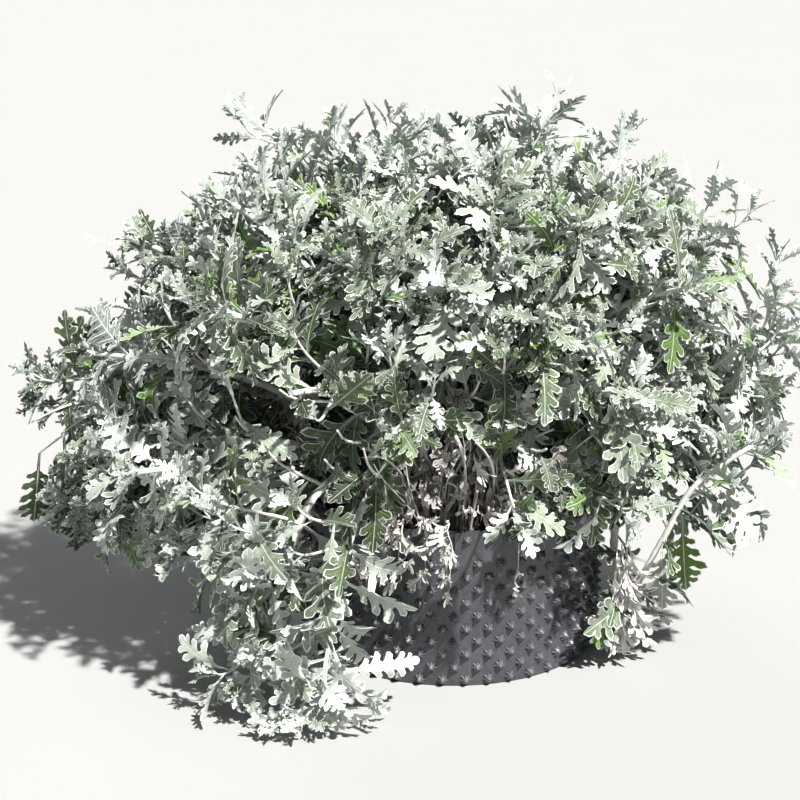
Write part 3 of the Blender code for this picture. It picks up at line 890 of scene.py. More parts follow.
# How a leaf differs from the next: a pair is a range to draw from
frameLeafPlay = {
    "age": (0.0, 0.25), "twist": (-0.6, 0.6), "curl": (-1.1, 0.8), "wave": 0.004, "phase": (0, 1),
    "bend": (-0.12, 0.12), "loose": 0.9,
}
grownLeafPlay = {
    "cup": (-0.1, 0.65), "twist": (-0.9, 0.9), "curl": (-1.3, 0.9), "wave": (0.001, 0.006), "phase": (0, 1),
    "bend": (-0.18, 0.18), "loose": 1.1, "width": (0.62, 1.0),
}
dryLeafPlay = {
    "cup": (0.2, 1.2), "twist": (-1.6, 1.6), "curl": (0.5, 3.0), "wave": 0.006, "phase": (0, 1),
    "bend": (-0.3, 0.3), "loose": 1.2,
}
hangingLeafPlay = {
    "cup": 0.15, "twist": (-0.5, 0.5), "curl": -0.3, "wave": 0.003, "phase": 0.2, "bend": (-0.1, 0.1),
    "loose": 0.5,
}

# A grown leaf: older ones sag and droop more, low ones are wider and face more outward and to the light
pose = {
    "sag": 0.22, "lowFrom": 0.47, "lowDepth": 0.16, "faceUp": 0.25, "faceAway": (0.22, 0.45),
    "frontFrom": 0.05, "faceLight": (0.25, 0.50), "faceShake": 0.40, "middle": 0.6,
    "droop": (0.25, 0.70, 0.45), "lowWidth": 0.16, "greenShare": 0.32, "greenDarker": 0.2,
    "ages": (0.0, 0.25), "greenAges": (0.55, 1.0),
}

# Felt and tone by place, partly real and partly painted light and shade: more felt and a lighter tone high
# up, at the right and on the low leaves, which is painted light from the key at the upper right, and high up
# also the real felt of young leaves; less felt and a darker tone at the far left and in the middle of the
# front, which is painted shade. Leaves inside the bush, behind its front layer, have less felt and are
# darker, which is partly painted shade.
feltAndPaintedLight = {
    "ground": 0.21, "byHeight": 0.26, "heightFrom": 0.15, "heightSpan": 0.5, "toRight": 0.25, "toSides": 0.15,
    "farLeft": -0.46, "farLeftChange": -0.16, "low": 0.20, "lowLeftChange": 0.48, "lowRightChange": 0.12,
    "left": -0.22, "leftBelow": 0.42, "leftChange": 0.38,
    "middle": (-0.20, 0.12), "middleBelow": 0.46, "middleChange": -0.20, "byYouth": 0.30, "play": 0.28,
}
shadedHeart = {
    "middle": np.array((-0.058, 0.030, 0.240)), "axes": np.array((0.49, 0.36, 0.46)), "shell": 0.90,
    "darker": 1.8, "front": -0.15,
}


def played(chance, play):
    return {key: chance.uniform(*value) if isinstance(value, tuple) else value for key, value in play.items()}


def clamp(value, high=1.0):
    return max(0.0, min(high, value))


def toneWithPaintedLightAt(point, youth, chance):
    x, y, z = point
    tone = feltAndPaintedLight["ground"] + feltAndPaintedLight["byHeight"] * max(0.0, (z - feltAndPaintedLight["heightFrom"]) / feltAndPaintedLight["heightSpan"])
    # Lighter towards the right: painted light from the key at the upper right
    tone += feltAndPaintedLight["toRight"] * x
    tone += feltAndPaintedLight["toSides"] * abs(x)
    # Painted shade at the far left and in the middle of the front; painted light on the low leaves and the
    # lower left
    if x < feltAndPaintedLight["farLeft"]:
        tone += feltAndPaintedLight["farLeftChange"]
    elif z < feltAndPaintedLight["low"]:
        tone += feltAndPaintedLight["lowLeftChange" if x < 0 else "lowRightChange"]
    elif x < feltAndPaintedLight["left"] and z < feltAndPaintedLight["leftBelow"]:
        tone += feltAndPaintedLight["leftChange"]
    elif feltAndPaintedLight["middle"][0] < x < feltAndPaintedLight["middle"][1] and y < 0 and z < feltAndPaintedLight["middleBelow"]:
        tone += feltAndPaintedLight["middleChange"]
    # Darker inside the bush, behind its front layer: partly less felt, partly painted shade
    if y > shadedHeart["front"]:
        inside = np.linalg.norm((np.array(point) - shadedHeart["middle"]) / shadedHeart["axes"])
        tone -= shadedHeart["darker"] * max(0.0, shadedHeart["shell"] - inside)
    return tone + feltAndPaintedLight["byYouth"] * youth + chance.uniform(-feltAndPaintedLight["play"], feltAndPaintedLight["play"])


def inOpening(point):
    azimuth = math.atan2(point[1], point[0]) % math.tau
    away = abs((azimuth - growth["openAzimuth"] + math.pi) % math.tau - math.pi)
    near = point[2] < growth["openBelow"] and math.hypot(point[0], point[1]) < growth["openWithin"]
    return away < growth["openWidth"] and near


def inTheDark(point):
    return math.hypot(point[0], point[1]) < growth["darkWithin"] and point[2] < growth["darkBelow"]


def grownLeaf(root, direction, turn, spread, length, youth, kind, chance, whiter=0.0):
    outward = asideFrom(direction, turn)
    along = direction * math.cos(spread) + outward * math.sin(spread) - up * pose["sag"] * (1 - youth)
    lower = clamp((pose["lowFrom"] - root.z) / pose["lowDepth"])
    awayPart, awayGain = pose["faceAway"]
    face = direction * math.sin(spread) - outward * math.cos(spread) + up * pose["faceUp"]
    face += awayFromAxis(root) * (awayPart + awayGain * lower)
    if root.y < pose["frontFrom"]:
        lightPart, lightGain = pose["faceLight"]
        face += lightward * (lightPart + lightGain * lower)
    face += shake(chance, pose["faceShake"])
    tone = toneWithPaintedLightAt(root + along * length * pose["middle"], youth, chance) + whiter
    green = chance.random() < pose["greenShare"] * (1 - youth)
    droop, droopPlay, oldDroop = pose["droop"]
    droop = droop + droopPlay * chance.random() + oldDroop * (1 - youth)
    spec = leafSpec(root, along, face, length, droop, kind=kind, **played(chance, grownLeafPlay))
    spec["width"] += pose["lowWidth"] * lower
    spec["tone"] = clamp(tone - (pose["greenDarker"] if green else 0))
    spec["age"] = chance.uniform(*pose["greenAges" if green else "ages"])
    return spec


def lineLength(points):
    return sum((b - a).length for a, b in zip(points, points[1:]))


def taper(thick, first, loss, count, knob=0.0, beat=0.0):
    sizes = [thick * (first - loss * step / (count - 1)) for step in range(count)]
    return [size * (1 + knob * math.sin(step * beat)) for step, size in enumerate(sizes)]


def growShoot(gather, root, direction, tip, chance):
    bow, count = shoot["bow"], shoot["points"]
    length = (tip - root).length
    onward, upward = shoot["lean"]
    lean = (tip - root).normalized() * onward + up * upward
    knots = (root, root + direction * length * bow, tip - lean * length * bow, tip)
    line = linePoints(bezier, knots, count)
    if not fits(np.array(line)):
        return
    radii = taper(shoot["radius"], *shoot["taper"], count)
    gather.tube(line, radii, shoot["sides"], stemSlot, shoot["tone"], 0.0)
    leafy = 1 - shoot["bare"]
    leaves = max(shoot["leastLeaves"], int(length * leafy / shoot["leafStep"]))
    buds = shoot["budLeaves"]
    whiter = chance.uniform(*shoot["whiter"])
    turn = chance.uniform(0, math.tau)
    low, high = shoot["lengths"]
    closed, opened = shoot["opening"]
    opened -= shoot["closing"] * clamp((tip.z - shoot["closedAbove"]) / shoot["closingSpan"])
    slimShare = shoot["slimShares"][tip.z > shoot["slimAbove"]]
    for number in range(leaves + buds):
        share = max(0.0, (number - buds) / (leaves - 1))
        place = 1 - leafy * share
        ahead = (bezier(knots, place + 0.01) - bezier(knots, place - 0.01)).normalized()
        grown = (high - low) * min(1.0, shoot["firstSize"] + shoot["sizeGrowth"] * share)
        grown *= shoot["budSize"] if number < buds else 1
        leafLength = (low + grown) * chance.uniform(*shoot["lengthPlay"])
        spread = closed + opened * min(1.0, shoot["firstOpening"] + share) ** shoot["openingBend"]
        spread = math.radians(spread) + chance.uniform(-shoot["spreadPlay"], shoot["spreadPlay"])
        slim = chance.random() < slimShare
        kind = "small" if leafLength < shoot["smallBelow"] else "long" if slim else "side"
        leafLength *= shoot["slimLonger"] if slim else 1
        gather.leaf(grownLeaf(bezier(knots, place), ahead, turn + number * goldenAngle, spread, leafLength,
                              1 - growth["ageing"] * share, kind, chance, whiter), chance)


def planShoots():
    chance = random.Random(shoot["seed"])
    plans = {stem.number: [] for stem in stems}
    places = [(stem, Vector(point)) for stem in stems for step, point in enumerate(stem.finePoints)
              if step >= shoot["firstStep"]
              and (point.z > shoot["above"] or stem.number >= bush["stems"])]
    targets = []
    for number in range(shoot["count"]):
        place = ((number + 0.5) / shoot["count"]) ** (shoot["crowding"] / bush["tipCrowding"])
        azimuth = number * goldenAngle + chance.uniform(-shoot["azimuthPlay"], shoot["azimuthPlay"])
        target, lean = domeShape(min(shoot["outermost"], place), azimuth)[:2]
        targets.append((target + lean * chance.uniform(*shoot["stand"]), lean))
    for number in range(shoot["low"]):
        outward = outwardAt(math.radians(chance.uniform(*shoot["lowAzimuth"])))
        height = chance.uniform(*shoot["lowHeight"])
        target = outward * chance.uniform(*shoot["lowRadius"]) + up * height
        out, down = shoot["lowLean"]
        targets.append((target, outward * out - up * down))
    for spike in shoot["spikes"]:
        targets.append((Vector(spike), (Vector(spike) - up * shoot["spikeHeart"]).normalized()))
    (startOut, startUp), (headOut, headUp) = shoot["startLean"], shoot["headingLean"]
    for target, lean in targets:
        if inOpening(target):
            continue
        reach = chance.uniform(*shoot["reach"])
        aimed = target - (lean * startOut + up * startUp).normalized() * reach
        stem, point = min(places, key=lambda entry: (entry[1] - aimed).length)
        if shoot["nearest"] < (target - point).length < shoot["farthest"]:
            ahead = ((target - point).normalized() + lean * headOut + up * headUp).normalized()
            plans[stem.number].append((point, ahead, target))
    return plans


def stemBody(gather, stem, total, chance):
    rings = max(body["leastRings"], int(total / body["ringStep"]))
    woody = body["woodyLying" if stem.name == "sprawling_stem_right" else "woody"]
    line, radii, ages = [], [], []
    for ring in range(rings + 1):
        share = ring / rings
        line.append(stem.backFromTip(total * (1 - share) + 1e-6, stem.finePoints)[0])
        knob = body["knobs"] * math.sin(ring * body["knobBeat"]) * (1 - share * body["knobFade"])
        knob = 1 + knob + chance.uniform(-body["knobPlay"], body["knobPlay"])
        fall = body["low"] - body["high"]
        radii.append((body["low"] - fall * share) * knob * (body["endSize"] if ring == rings else 1))
        ages.append(clamp(1.0 - share / woody, body["barkAge"]))
    gather.tube(line, radii, body["sides"], stemSlot, body["tone"], ages)


def leavesAlong(gather, stem, total, turn, chance):
    reach = total * (1 - growth["bareShare"])
    distance, number = growth["firstLeaf"], 4
    low, high = growth["lengths"]
    while distance < reach:
        point, direction = stem.backFromTip(distance, stem.finePoints)
        share = distance / reach
        number += 1
        distance += growth["leafStep"] * (1 + growth["stepGrowth"] * share)
        if inTheDark(point) or (inOpening(point) and chance.random() < growth["openThinning"]):
            continue
        spread = math.radians(chance.uniform(*growth["spread"]))
        length = low + (high - low) * min(1.0, share * growth["fullLengthFrom"])
        length *= chance.uniform(*growth["lengthPlay"])
        for attempt in range(growth["tries"]):
            aside = turn + number * goldenAngle + attempt * growth["turnPerTry"]
            shorter = length * (1 - growth["shrinkPerTry"] * attempt)
            youth = growth["ageing"] - growth["ageing"] * share
            spec = grownLeaf(point, direction, aside, spread, shorter, youth, "side", chance)
            if gather.leaf(spec, chance):
                break


def dressStem(stem):
    chance = random.Random(growth["seed"] + stem.number)
    gather = Gather()
    points = stem.finePoints
    total = lineLength(points)
    stemBody(gather, stem, total, chance)
    for rank, spec in enumerate(stem.leaves):
        middle = spec["root"] + spec["along"] * spec["length"] * pose["middle"]
        tone = clamp(toneWithPaintedLightAt(middle, 1 - rank / frameLeaf["perStem"], chance))
        spec.update(tone=tone, **played(chance, frameLeafPlay))
        if chance.random() < growth["agedShare"]:
            spec["age"] = growth["agedLeaf"]
        spec["length"] *= growth["frameLeafSize"]
        gather.leaf(spec, chance)
    turn = chance.uniform(0, math.tau)
    low, high = growth["crownLengths"]
    for number in range(growth["crownLeaves"]):
        point, direction = stem.backFromTip(growth["crownStart"] + growth["crownStep"] * number, points)
        length = low + (high - low) * number / growth["crownLeaves"]
        spread = math.radians(growth["crownSpread"] + growth["crownSpreadStep"] * number)
        spec = grownLeaf(point, direction, turn + number * goldenAngle, spread, length, 1.0, "small", chance)
        gather.leaf(spec, chance)
    leavesAlong(gather, stem, total, turn, chance)
    for _ in range(growth["deadLeaves"]):
        point = stem.backFromTip(total * chance.uniform(*growth["deadFrom"]), points)[0]
        along = shake(chance, 1) - up * growth["deadSag"]
        length = chance.uniform(*growth["deadLengths"])
        spec = dryLeafSpec(point, along, chance, length, chance.uniform(*growth["deadTones"]))
        gather.leaf(spec, chance, drySlot, anywhere=True)
    for point, ahead, tip in shootPlans[stem.number]:
        growShoot(gather, point, ahead, tip, chance)
    for _ in range(chance.randint(*shoot["more"])):
        point, direction = stem.backFromTip(chance.uniform(*shoot["moreFrom"]), points)
        if inTheDark(point) or inOpening(point):
            continue
        heading = direction * shoot["moreAlong"] + awayFromAxis(point) * chance.uniform(*shoot["moreOut"])
        heading = heading + up * chance.uniform(*shoot["moreUp"]) + shake(chance, shoot["moreShake"])
        heading.normalize()
        tip = point + heading * chance.uniform(*shoot["moreLength"])
        growShoot(gather, point, heading, tip, chance)
    words = stem.name.split("_")
    name = words[0] + "".join(word.capitalize() for word in words[1:])
    makePiece(name, gather, foliageSlots, stem.name)
    return len(gather.faces)


# Dead leaves caught round the rim and the dried bundle beside the pot
litter = {
    "rimLeaves": 330, "rimTries": 6, "rimAzimuth": (190, 355, 290), "rimRadius": (0.06, 0.212),
    "rimHeight": 0.20, "rimPiling": 1.4, "rimLean": (-1.6, 0.4),
    "bundleLeaves": 46, "bundleTop": (0.208, -0.112, 0.172), "bundleDrop": -0.085,
    # The bundle's near-white tones are partly its own dried colour, partly painted sunlight where the bush
    # shades it
    "bundleLengths": (0.045, 0.090), "bundleTones": (0.75, 1.0),
    "bundleAside": ((-0.004, 0.014), (-0.02, 0.01)), "bundleLean": ((-0.06, 0.12), (-0.3, 0.1)),
    "bundlePlay": {"width": (0.35, 0.65), "droop": (0.4, 1.3), "age": (0.0, 0.1)},
    "lengths": (0.018, 0.050), "droop": (1.4, 2.8), "ages": (0, 0.5),
}


def dryLeafSpec(root, along, chance, length=None, tone=None):
    face = shake(chance, 1)
    length = length or chance.uniform(*litter["lengths"])
    droop = chance.uniform(*litter["droop"])
    spec = leafSpec(root, along, face, length, droop, kind="side", **played(chance, dryLeafPlay))
    spec["tone"] = chance.random() if tone is None else tone
    spec["age"] = chance.uniform(*litter["ages"])
    return spec


shootPlans = planShoots()
faceTotal = 0
for stem in stems:
    stem.leaves = frameLeaves(stem)
    faceTotal += dressStem(stem)
print("stems dressed, faces:", faceTotal)


def makeLitter():
    chance = random.Random(404)
    gather = Gather()
    placed = 0
    for _ in range(litter["rimLeaves"] * litter["rimTries"]):
        azimuth = math.radians(chance.triangular(*litter["rimAzimuth"]))
        radius = chance.uniform(*litter["rimRadius"])
        height = litter["rimHeight"]
        root = Vector(onCircle(azimuth, radius, height + height * chance.random() ** litter["rimPiling"]))
        along = Vector(onCircle(azimuth, 1, chance.uniform(*litter["rimLean"])))
        placed += gather.leaf(dryLeafSpec(root, along, chance), chance, anywhere=True)
        if placed == litter["rimLeaves"]:
            break
    for _ in range(litter["bundleLeaves"]):
        aside = [chance.uniform(*span) for span in litter["bundleAside"]]
        root = Vector(litter["bundleTop"]) + Vector((*aside, litter["bundleDrop"] * chance.random()))
        along = Vector((*[chance.uniform(*span) for span in litter["bundleLean"]], -1))
        length, tone = chance.uniform(*litter["bundleLengths"]), chance.uniform(*litter["bundleTones"])
        spec = dryLeafSpec(root, along, chance, length, tone)
        spec.update(played(chance, litter["bundlePlay"]))
        gather.leaf(spec, chance)
    makePiece("dryLeaves", gather, (dryLeaf, dryLeaf))
    return placed


# Thin bare twigs that stand in the pot, and those that hang over its rim with dead leaves on them.
# A place on a hanging twig's route is given by its distance from the axis and its height.
twig = {
    "seed": 505, "count": 190, "azimuth": (195, 352), "radius": (0.04, 0.172), "foot": 0.176,
    "lengths": (0.06, 0.22), "thin": (0.0007, 0.0022), "thick": (0.0024, 0.0034), "thickEvery": 6,
    "sides": 5, "points": 11, "out": (-0.2, 0.8), "shake": 0.55, "bow": 0.04, "taper": (1.3, 0.8),
    "knobs": (0.12, 2.1), "ages": (0.0, 0.85), "tones": (0.4, 1.0), "rises": (0.03, 0.05), "lastRun": 0.4,
}
overRim = {
    "azimuths": (245, 250, 254, 258, 263, 268, 291), "azimuthPlay": 2, "drop": (0.020, 0.070),
    "radius": 0.0013, "points": 15, "sideways": 0.012, "foot": (0.165, 0.190), "rise": (0.02, 0.045),
    "bend": (0.232, 0.235), "end": (0.213, 0.205), "taper": (1.2, 0.7), "knobs": (0.15, 2.3),
    "shake": 0.0025, "tone": 0.7,
    "age": 0.5, "knotFrom": 4, "knotSag": 0.6, "knotLengths": (0.014, 0.036), "knotTones": (0.45, 1.0),
}


def standingTwig(gather, number, chance):
    azimuth = math.radians(chance.uniform(*twig["azimuth"]))
    foot = Vector(onCircle(azimuth, chance.uniform(*twig["radius"]), twig["foot"]))
    lean = outwardAt(azimuth) * chance.uniform(*twig["out"]) + up + shake(chance, twig["shake"])
    lean.normalize()
    length = chance.uniform(*twig["lengths"])
    tipRise, firstRise = twig["rises"]
    tip = foot + up * tipRise + lean * length
    nearTip = tip - lean * length * twig["lastRun"] + shake(chance, twig["bow"])
    knots = (foot, foot + up * firstRise, nearTip, tip)
    line = linePoints(bezier, knots, twig["points"])
    thick = chance.uniform(*twig["thin" if number % twig["thickEvery"] else "thick"])
    radii = taper(thick, *twig["taper"], len(line), *twig["knobs"])
    age = chance.uniform(*twig["ages"])
    gather.tube(line, radii, twig["sides"], 0, chance.uniform(*twig["tones"]), age)


def hangingTwig(gather, degrees, chance):
    degrees += chance.uniform(-overRim["azimuthPlay"], overRim["azimuthPlay"])
    outward = outwardAt(math.radians(degrees))

    def spot(place):
        return outward * place[0] + up * place[1]

    sideways = outward.cross(up) * chance.uniform(-overRim["sideways"], overRim["sideways"])
    foot = spot(overRim["foot"])
    outAt, highAt = overRim["end"]
    end = spot((outAt, highAt - chance.uniform(*overRim["drop"]))) + sideways * 2
    outRise, upRise = overRim["rise"]
    knots = (foot, foot + outward * outRise + up * upRise, spot(overRim["bend"]) + sideways, end)
    line = linePoints(bezier, knots, overRim["points"])
    line = [point + shake(chance, overRim["shake"]) for point in line]
    if not fits(np.array(line)):
        return
    radii = taper(overRim["radius"], *overRim["taper"], len(line), *overRim["knobs"])
    gather.tube(line, radii, twig["sides"], 0, overRim["tone"], overRim["age"])
    for point in line[overRim["knotFrom"]:]:
        along = outward + shake(chance, 1) - up * overRim["knotSag"]
        length, tone = chance.uniform(*overRim["knotLengths"]), chance.uniform(*overRim["knotTones"])
        gather.leaf(dryLeafSpec(point, along, chance, length, tone), chance, 1, anywhere=True)


def makeTwigs():
    chance = random.Random(twig["seed"])
    gather = Gather()
    for number in range(twig["count"]):
        standingTwig(gather, number, chance)
    for degrees in overRim["azimuths"]:
        hangingTwig(gather, degrees, chance)
    makePiece("bareTwigs", gather, (stemFelt, dryLeaf))


print("dry leaves:", makeLitter())
makeTwigs()

# Single leaves that hang: root, direction, length, tone and age.
# Those at the left grow on a stalk out of the bush.
hanging = {
    # The very low tones of leaves at the left are painted shade, on the bush's shaded left side
    "leaves": (
        ((0.287, -0.112, 0.196), (0.05, -0.10, -1.0), 0.112, 0.10, 0.80),
        ((0.262, -0.104, 0.160), (0.10, -0.20, -1.0), 0.098, 0.75, 0.0),
        ((0.300, -0.112, 0.235), (0.90, -0.30, -0.45), 0.112, 0.90, 0.0),
        ((0.318, -0.114, 0.250), (0.55, -0.50, -0.55), 0.104, 0.85, 0.0),
        ((-0.530, -0.030, 0.252), (-0.10, -0.15, -1.0), 0.100, 0.06, 0.10),
        ((-0.496, -0.040, 0.284), (0.05, -0.20, -1.0), 0.105, 0.55, 0.00),
        ((-0.540, -0.020, 0.290), (-0.30, -0.10, -1.0), 0.076, 0.62, 0.00),
        ((-0.470, -0.060, 0.254), (-0.15, -0.25, -1.0), 0.092, 0.12, 0.30),
        ((-0.420, -0.095, 0.240), (-0.05, -0.20, -1.0), 0.078, 0.10, 0.20),
        ((-0.338, -0.125, 0.212), (0.10, -0.20, -1.0), 0.072, 0.08, 0.30),
    ),
    "face": (0.1, -1, 0.25), "droop": 0.5, "stalkHeart": (-0.330, 0.020, 0.330), "stalkStep": 0.025,
    "stalkRise": 0.012, "stalkBeat": 0.7, "stalkRadius": 0.0013, "stalkGrowth": 0.0002, "stalkPoints": 6,
}


def makeHangingLeaves():
    look = hanging
    chance = random.Random(606)
    gather = Gather()
    for place, along, length, tone, age in look["leaves"]:
        play = played(chance, hangingLeafPlay)
        spec = leafSpec(Vector(place), Vector(along), Vector(look["face"]), length, look["droop"],
                        tone=tone, age=age, **play)
        gather.leaf(spec, chance)
        if place[0] < 0:
            inward = (Vector(look["stalkHeart"]) - spec["root"]).normalized()
            steps = range(look["stalkPoints"])
            line = [spec["root"] + inward * look["stalkStep"] * step
                    + up * look["stalkRise"] * math.sin(look["stalkBeat"] * step) for step in steps]
            radii = [look["stalkRadius"] + look["stalkGrowth"] * step for step in steps]
            gather.tube(line, radii, shoot["sides"], stemSlot, shoot["tone"], 0.0)
    makePiece("hangingLeaves", gather, foliageSlots)


makeHangingLeaves()

# The pot: a sheet with star-shaped studs, a plain band under its top row, and its free end
potLook = {
    "radius": 0.191, "height": 0.205, "sheet": 0.003, "sides": 168, "levels": 12, "wobble": 0.0007,
    "rimWidth": 0.0007, "rimSegments": 2, "rimAngle": math.radians(60), "sharpAngle": math.radians(38),
    "studsRound": 42, "studBase": 0.0084, "studSides": 16, "studHeight": 0.009, "starDepth": 0.36,
    "studSteps": ((0.0016, 0.84), (0.0024, 0.72), (0.0026, 0.56), (0.0018, 0.45), (0.0009, 0.5)),
    "studSizes": (0.95, 1.04), "studTilts": (-0.05, 0.05), "studStretches": (0.94, 1.0), "sunk": 0.0006,
    "ribFoot": 0.0008, "ribWorn": 0.35,
    "rows": (0.194, 0.161, 0.144, 0.127, 0.110, 0.093, 0.076, 0.059, 0.042, 0.025, 0.0085),
    "endAzimuth": 270.0, "endWidth": 7.0, "endColumns": 9, "endRows": 7, "endLow": 0.176, "belowRim": 0.0008,
    "endProud": 0.0012, "endLift": 0.0022, "endCurl": 0.0016, "endSheet": 0.0018,
}


def selectOnly(*pieces):
    bpy.ops.object.select_all(action="DESELECT")
    for piece in pieces:
        piece.select_set(True)
    bpy.context.view_layer.objects.active = pieces[0]


def editAll():
    bpy.ops.object.mode_set(mode="EDIT")
    bpy.ops.mesh.select_all(action="SELECT")


def endEdit():
    bpy.ops.mesh.select_all(action="SELECT")
    bpy.ops.mesh.normals_make_consistent(inside=False)
    bpy.ops.object.mode_set(mode="OBJECT")


def extrudeUp(rise):
    bpy.ops.mesh.extrude_region_move(TRANSFORM_OT_translate={"value": (0, 0, rise)})


# The sheet isn't quite round: it swells in and out, more towards the rim
def swellAt(azimuth, share):
    return potLook["wobble"] * (math.sin(azimuth * 5 + 1) + 0.6 * math.sin(azimuth * 11 + share * 4)) * share


def makeStud():
    look = potLook
    bpy.ops.mesh.primitive_circle_add(vertices=look["studSides"], radius=look["studBase"], fill_type="NGON")
    stud = bpy.context.object
    editAll()
    for rise, size in look["studSteps"]:
        extrudeUp(rise)
        bpy.ops.transform.resize(value=(size, size, 1))
    bpy.ops.mesh.select_all(action="DESELECT")
    bpy.ops.mesh.select_non_manifold()
    bpy.ops.mesh.edge_face_add()
    endEdit()
    ribs = []
    for vertex in stud.data.vertices:
        hollow = round(math.atan2(vertex.co.y, vertex.co.x) / math.tau * look["studSides"]) % 2
        share = vertex.co.z / look["studHeight"]
        if hollow:
            fade = max(0.0, 1 - share)
            vertex.co.x *= 1 - look["starDepth"] * fade
            vertex.co.y *= 1 - look["starDepth"] * fade
        # Ribs lighter towards the stud tip: partly wear, partly painted highlight
        plain = hollow or vertex.co.z < look["ribFoot"]
        ribs.append(0.0 if plain else min(1.0, look["ribWorn"] + share))
    return stud, ribs


def makeWall():
    look = potLook
    bpy.ops.mesh.primitive_circle_add(vertices=look["sides"], radius=look["radius"], location=(0, 0, 0))
    wall = bpy.context.object
    wall.name = wall.data.name = "potWall"
    editAll()
    for _ in range(look["levels"]):
        extrudeUp(look["height"] / look["levels"])
    endEdit()
    first = wall.data.polygons[0]
    if first.normal.dot(Vector((first.center.x, first.center.y, 0))) < 0:
        wall.data.flip_normals()
    for vertex in wall.data.vertices:
        swell = swellAt(math.atan2(vertex.co.y, vertex.co.x), vertex.co.z / look["height"])
        scale = 1 + swell / look["radius"]
        vertex.co.x *= scale
        vertex.co.y *= scale
    thicken = wall.modifiers.new("thickness", "SOLIDIFY")
    thicken.thickness = look["sheet"]
    thicken.offset = -1
    selectOnly(wall)
    bpy.ops.object.modifier_apply(modifier="thickness")
    soften = wall.modifiers.new("rim", "BEVEL")
    soften.width = look["rimWidth"]
    soften.segments = look["rimSegments"]
    soften.limit_method = "ANGLE"
    soften.angle_limit = look["rimAngle"]
    bpy.ops.object.modifier_apply(modifier="rim")
    addAttribute(wall.data, "worn", [0.0] * len(wall.data.vertices))
    return wall


def makeStuds():
    look = potLook
    stud, ribs = makeStud()
    shape = np.array([tuple(vertex.co) for vertex in stud.data.vertices])
    faces = [list(polygon.vertices) for polygon in stud.data.polygons]
    bpy.data.objects.remove(stud)
    chance = random.Random(808)
    blocks = []
    for row, height in enumerate(look["rows"]):
        for number in range(look["studsRound"]):
            azimuth = math.tau * (number + 0.5 * (row % 2)) / look["studsRound"]
            outward = np.array(onCircle(azimuth))
            sideways = np.array((-math.sin(azimuth), math.cos(azimuth), 0))
            size = chance.uniform(*look["studSizes"])
            tilt = chance.uniform(*look["studTilts"])
            stand = look["radius"] - look["sunk"] + swellAt(azimuth, height / look["height"])
            x, y, z = (shape * (size, size, chance.uniform(*look["studStretches"]))).T
            block = np.outer(x, sideways) + np.outer(stand + z, outward)
            block[:, 2] += y + height + z * tilt
            blocks.append(block)
    studs = newPiece("studs", *joinBlocks(blocks, faces), ())
    addAttribute(studs.data, "worn", ribs * len(blocks))
    return studs


def makePot():
    wall = makeWall()
    selectOnly(wall, makeStuds())
    bpy.ops.object.join()
    wall.data.materials.clear()
    wall.data.materials.append(potPlastic)
    wall.data.shade_smooth()
    wall.data.set_sharp_from_angle(angle=potLook["sharpAngle"])
    placePiece(wall, "pot_wall")


makePot()
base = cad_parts["pot_base"]
base.data.materials.clear()
base.data.materials.append(potPlastic)


def makeSheetEnd():
    look = potLook
    radius, low, high = look["radius"], look["endLow"], look["height"]
    columns, rows = look["endColumns"], look["endRows"]
    outer, inner = [], []
    for column in range(columns):
        angle = look["endAzimuth"] + look["endWidth"] * column / (columns - 1)
        share = (angle - look["endAzimuth"]) / look["endWidth"]
        proud = look["endProud"] + look["endLift"] * (1 - share) ** 2
        for row in range(rows):
            height = low + (high - look["belowRim"] - low) * row / (rows - 1)
            rise = (height - low) / (high - low)
            lift = radius + proud * rise + look["endCurl"] * rise * (1 - share)
            outer.append(onCircle(math.radians(angle), lift, height))
            inner.append(onCircle(math.radians(angle), lift - look["endSheet"], height))
    grid = [list(range(column * rows, (column + 1) * rows)) for column in range(columns)]
    shift = len(outer)
    faces = [[left[row], right[row], right[row + 1], left[row + 1]]
             for left, right in zip(grid, grid[1:]) for row in range(rows - 1)]
    faces += [[corner + shift for corner in face[::-1]] for face in faces]
    ring = grid[0] + [column[-1] for column in grid[1:]]
    ring += grid[-1][-2::-1] + [column[0] for column in grid[-2:0:-1]]
    faces += [[a, b, b + shift, a + shift] for a, b in zip(ring, ring[1:] + ring[:1])]
    placePiece(newPiece("sheetEnd", outer + inner, faces, [potPlastic]))


makeSheetEnd()
print("pot made")

soilLook = {
    "radius": 0.1877, "top": 0.182, "bottom": 0.0053, "sides": 96, "rings": 24, "lump": 0.0045, "edge": 0.002,
    "settled": 0.001, "wide": (28, 0.7), "fine": (130, 0.6), "fineShift": (5, 1, 2),
    "chips": 260, "chipReach": 0.178, "chipRise": 0.0012, "chipWear": (0.6, 1.1), "chipTips": (-0.4, 0.4),
    "chipSizes": ((0.002, 0.007), (0.0015, 0.004), (0.0008, 0.002)),
}


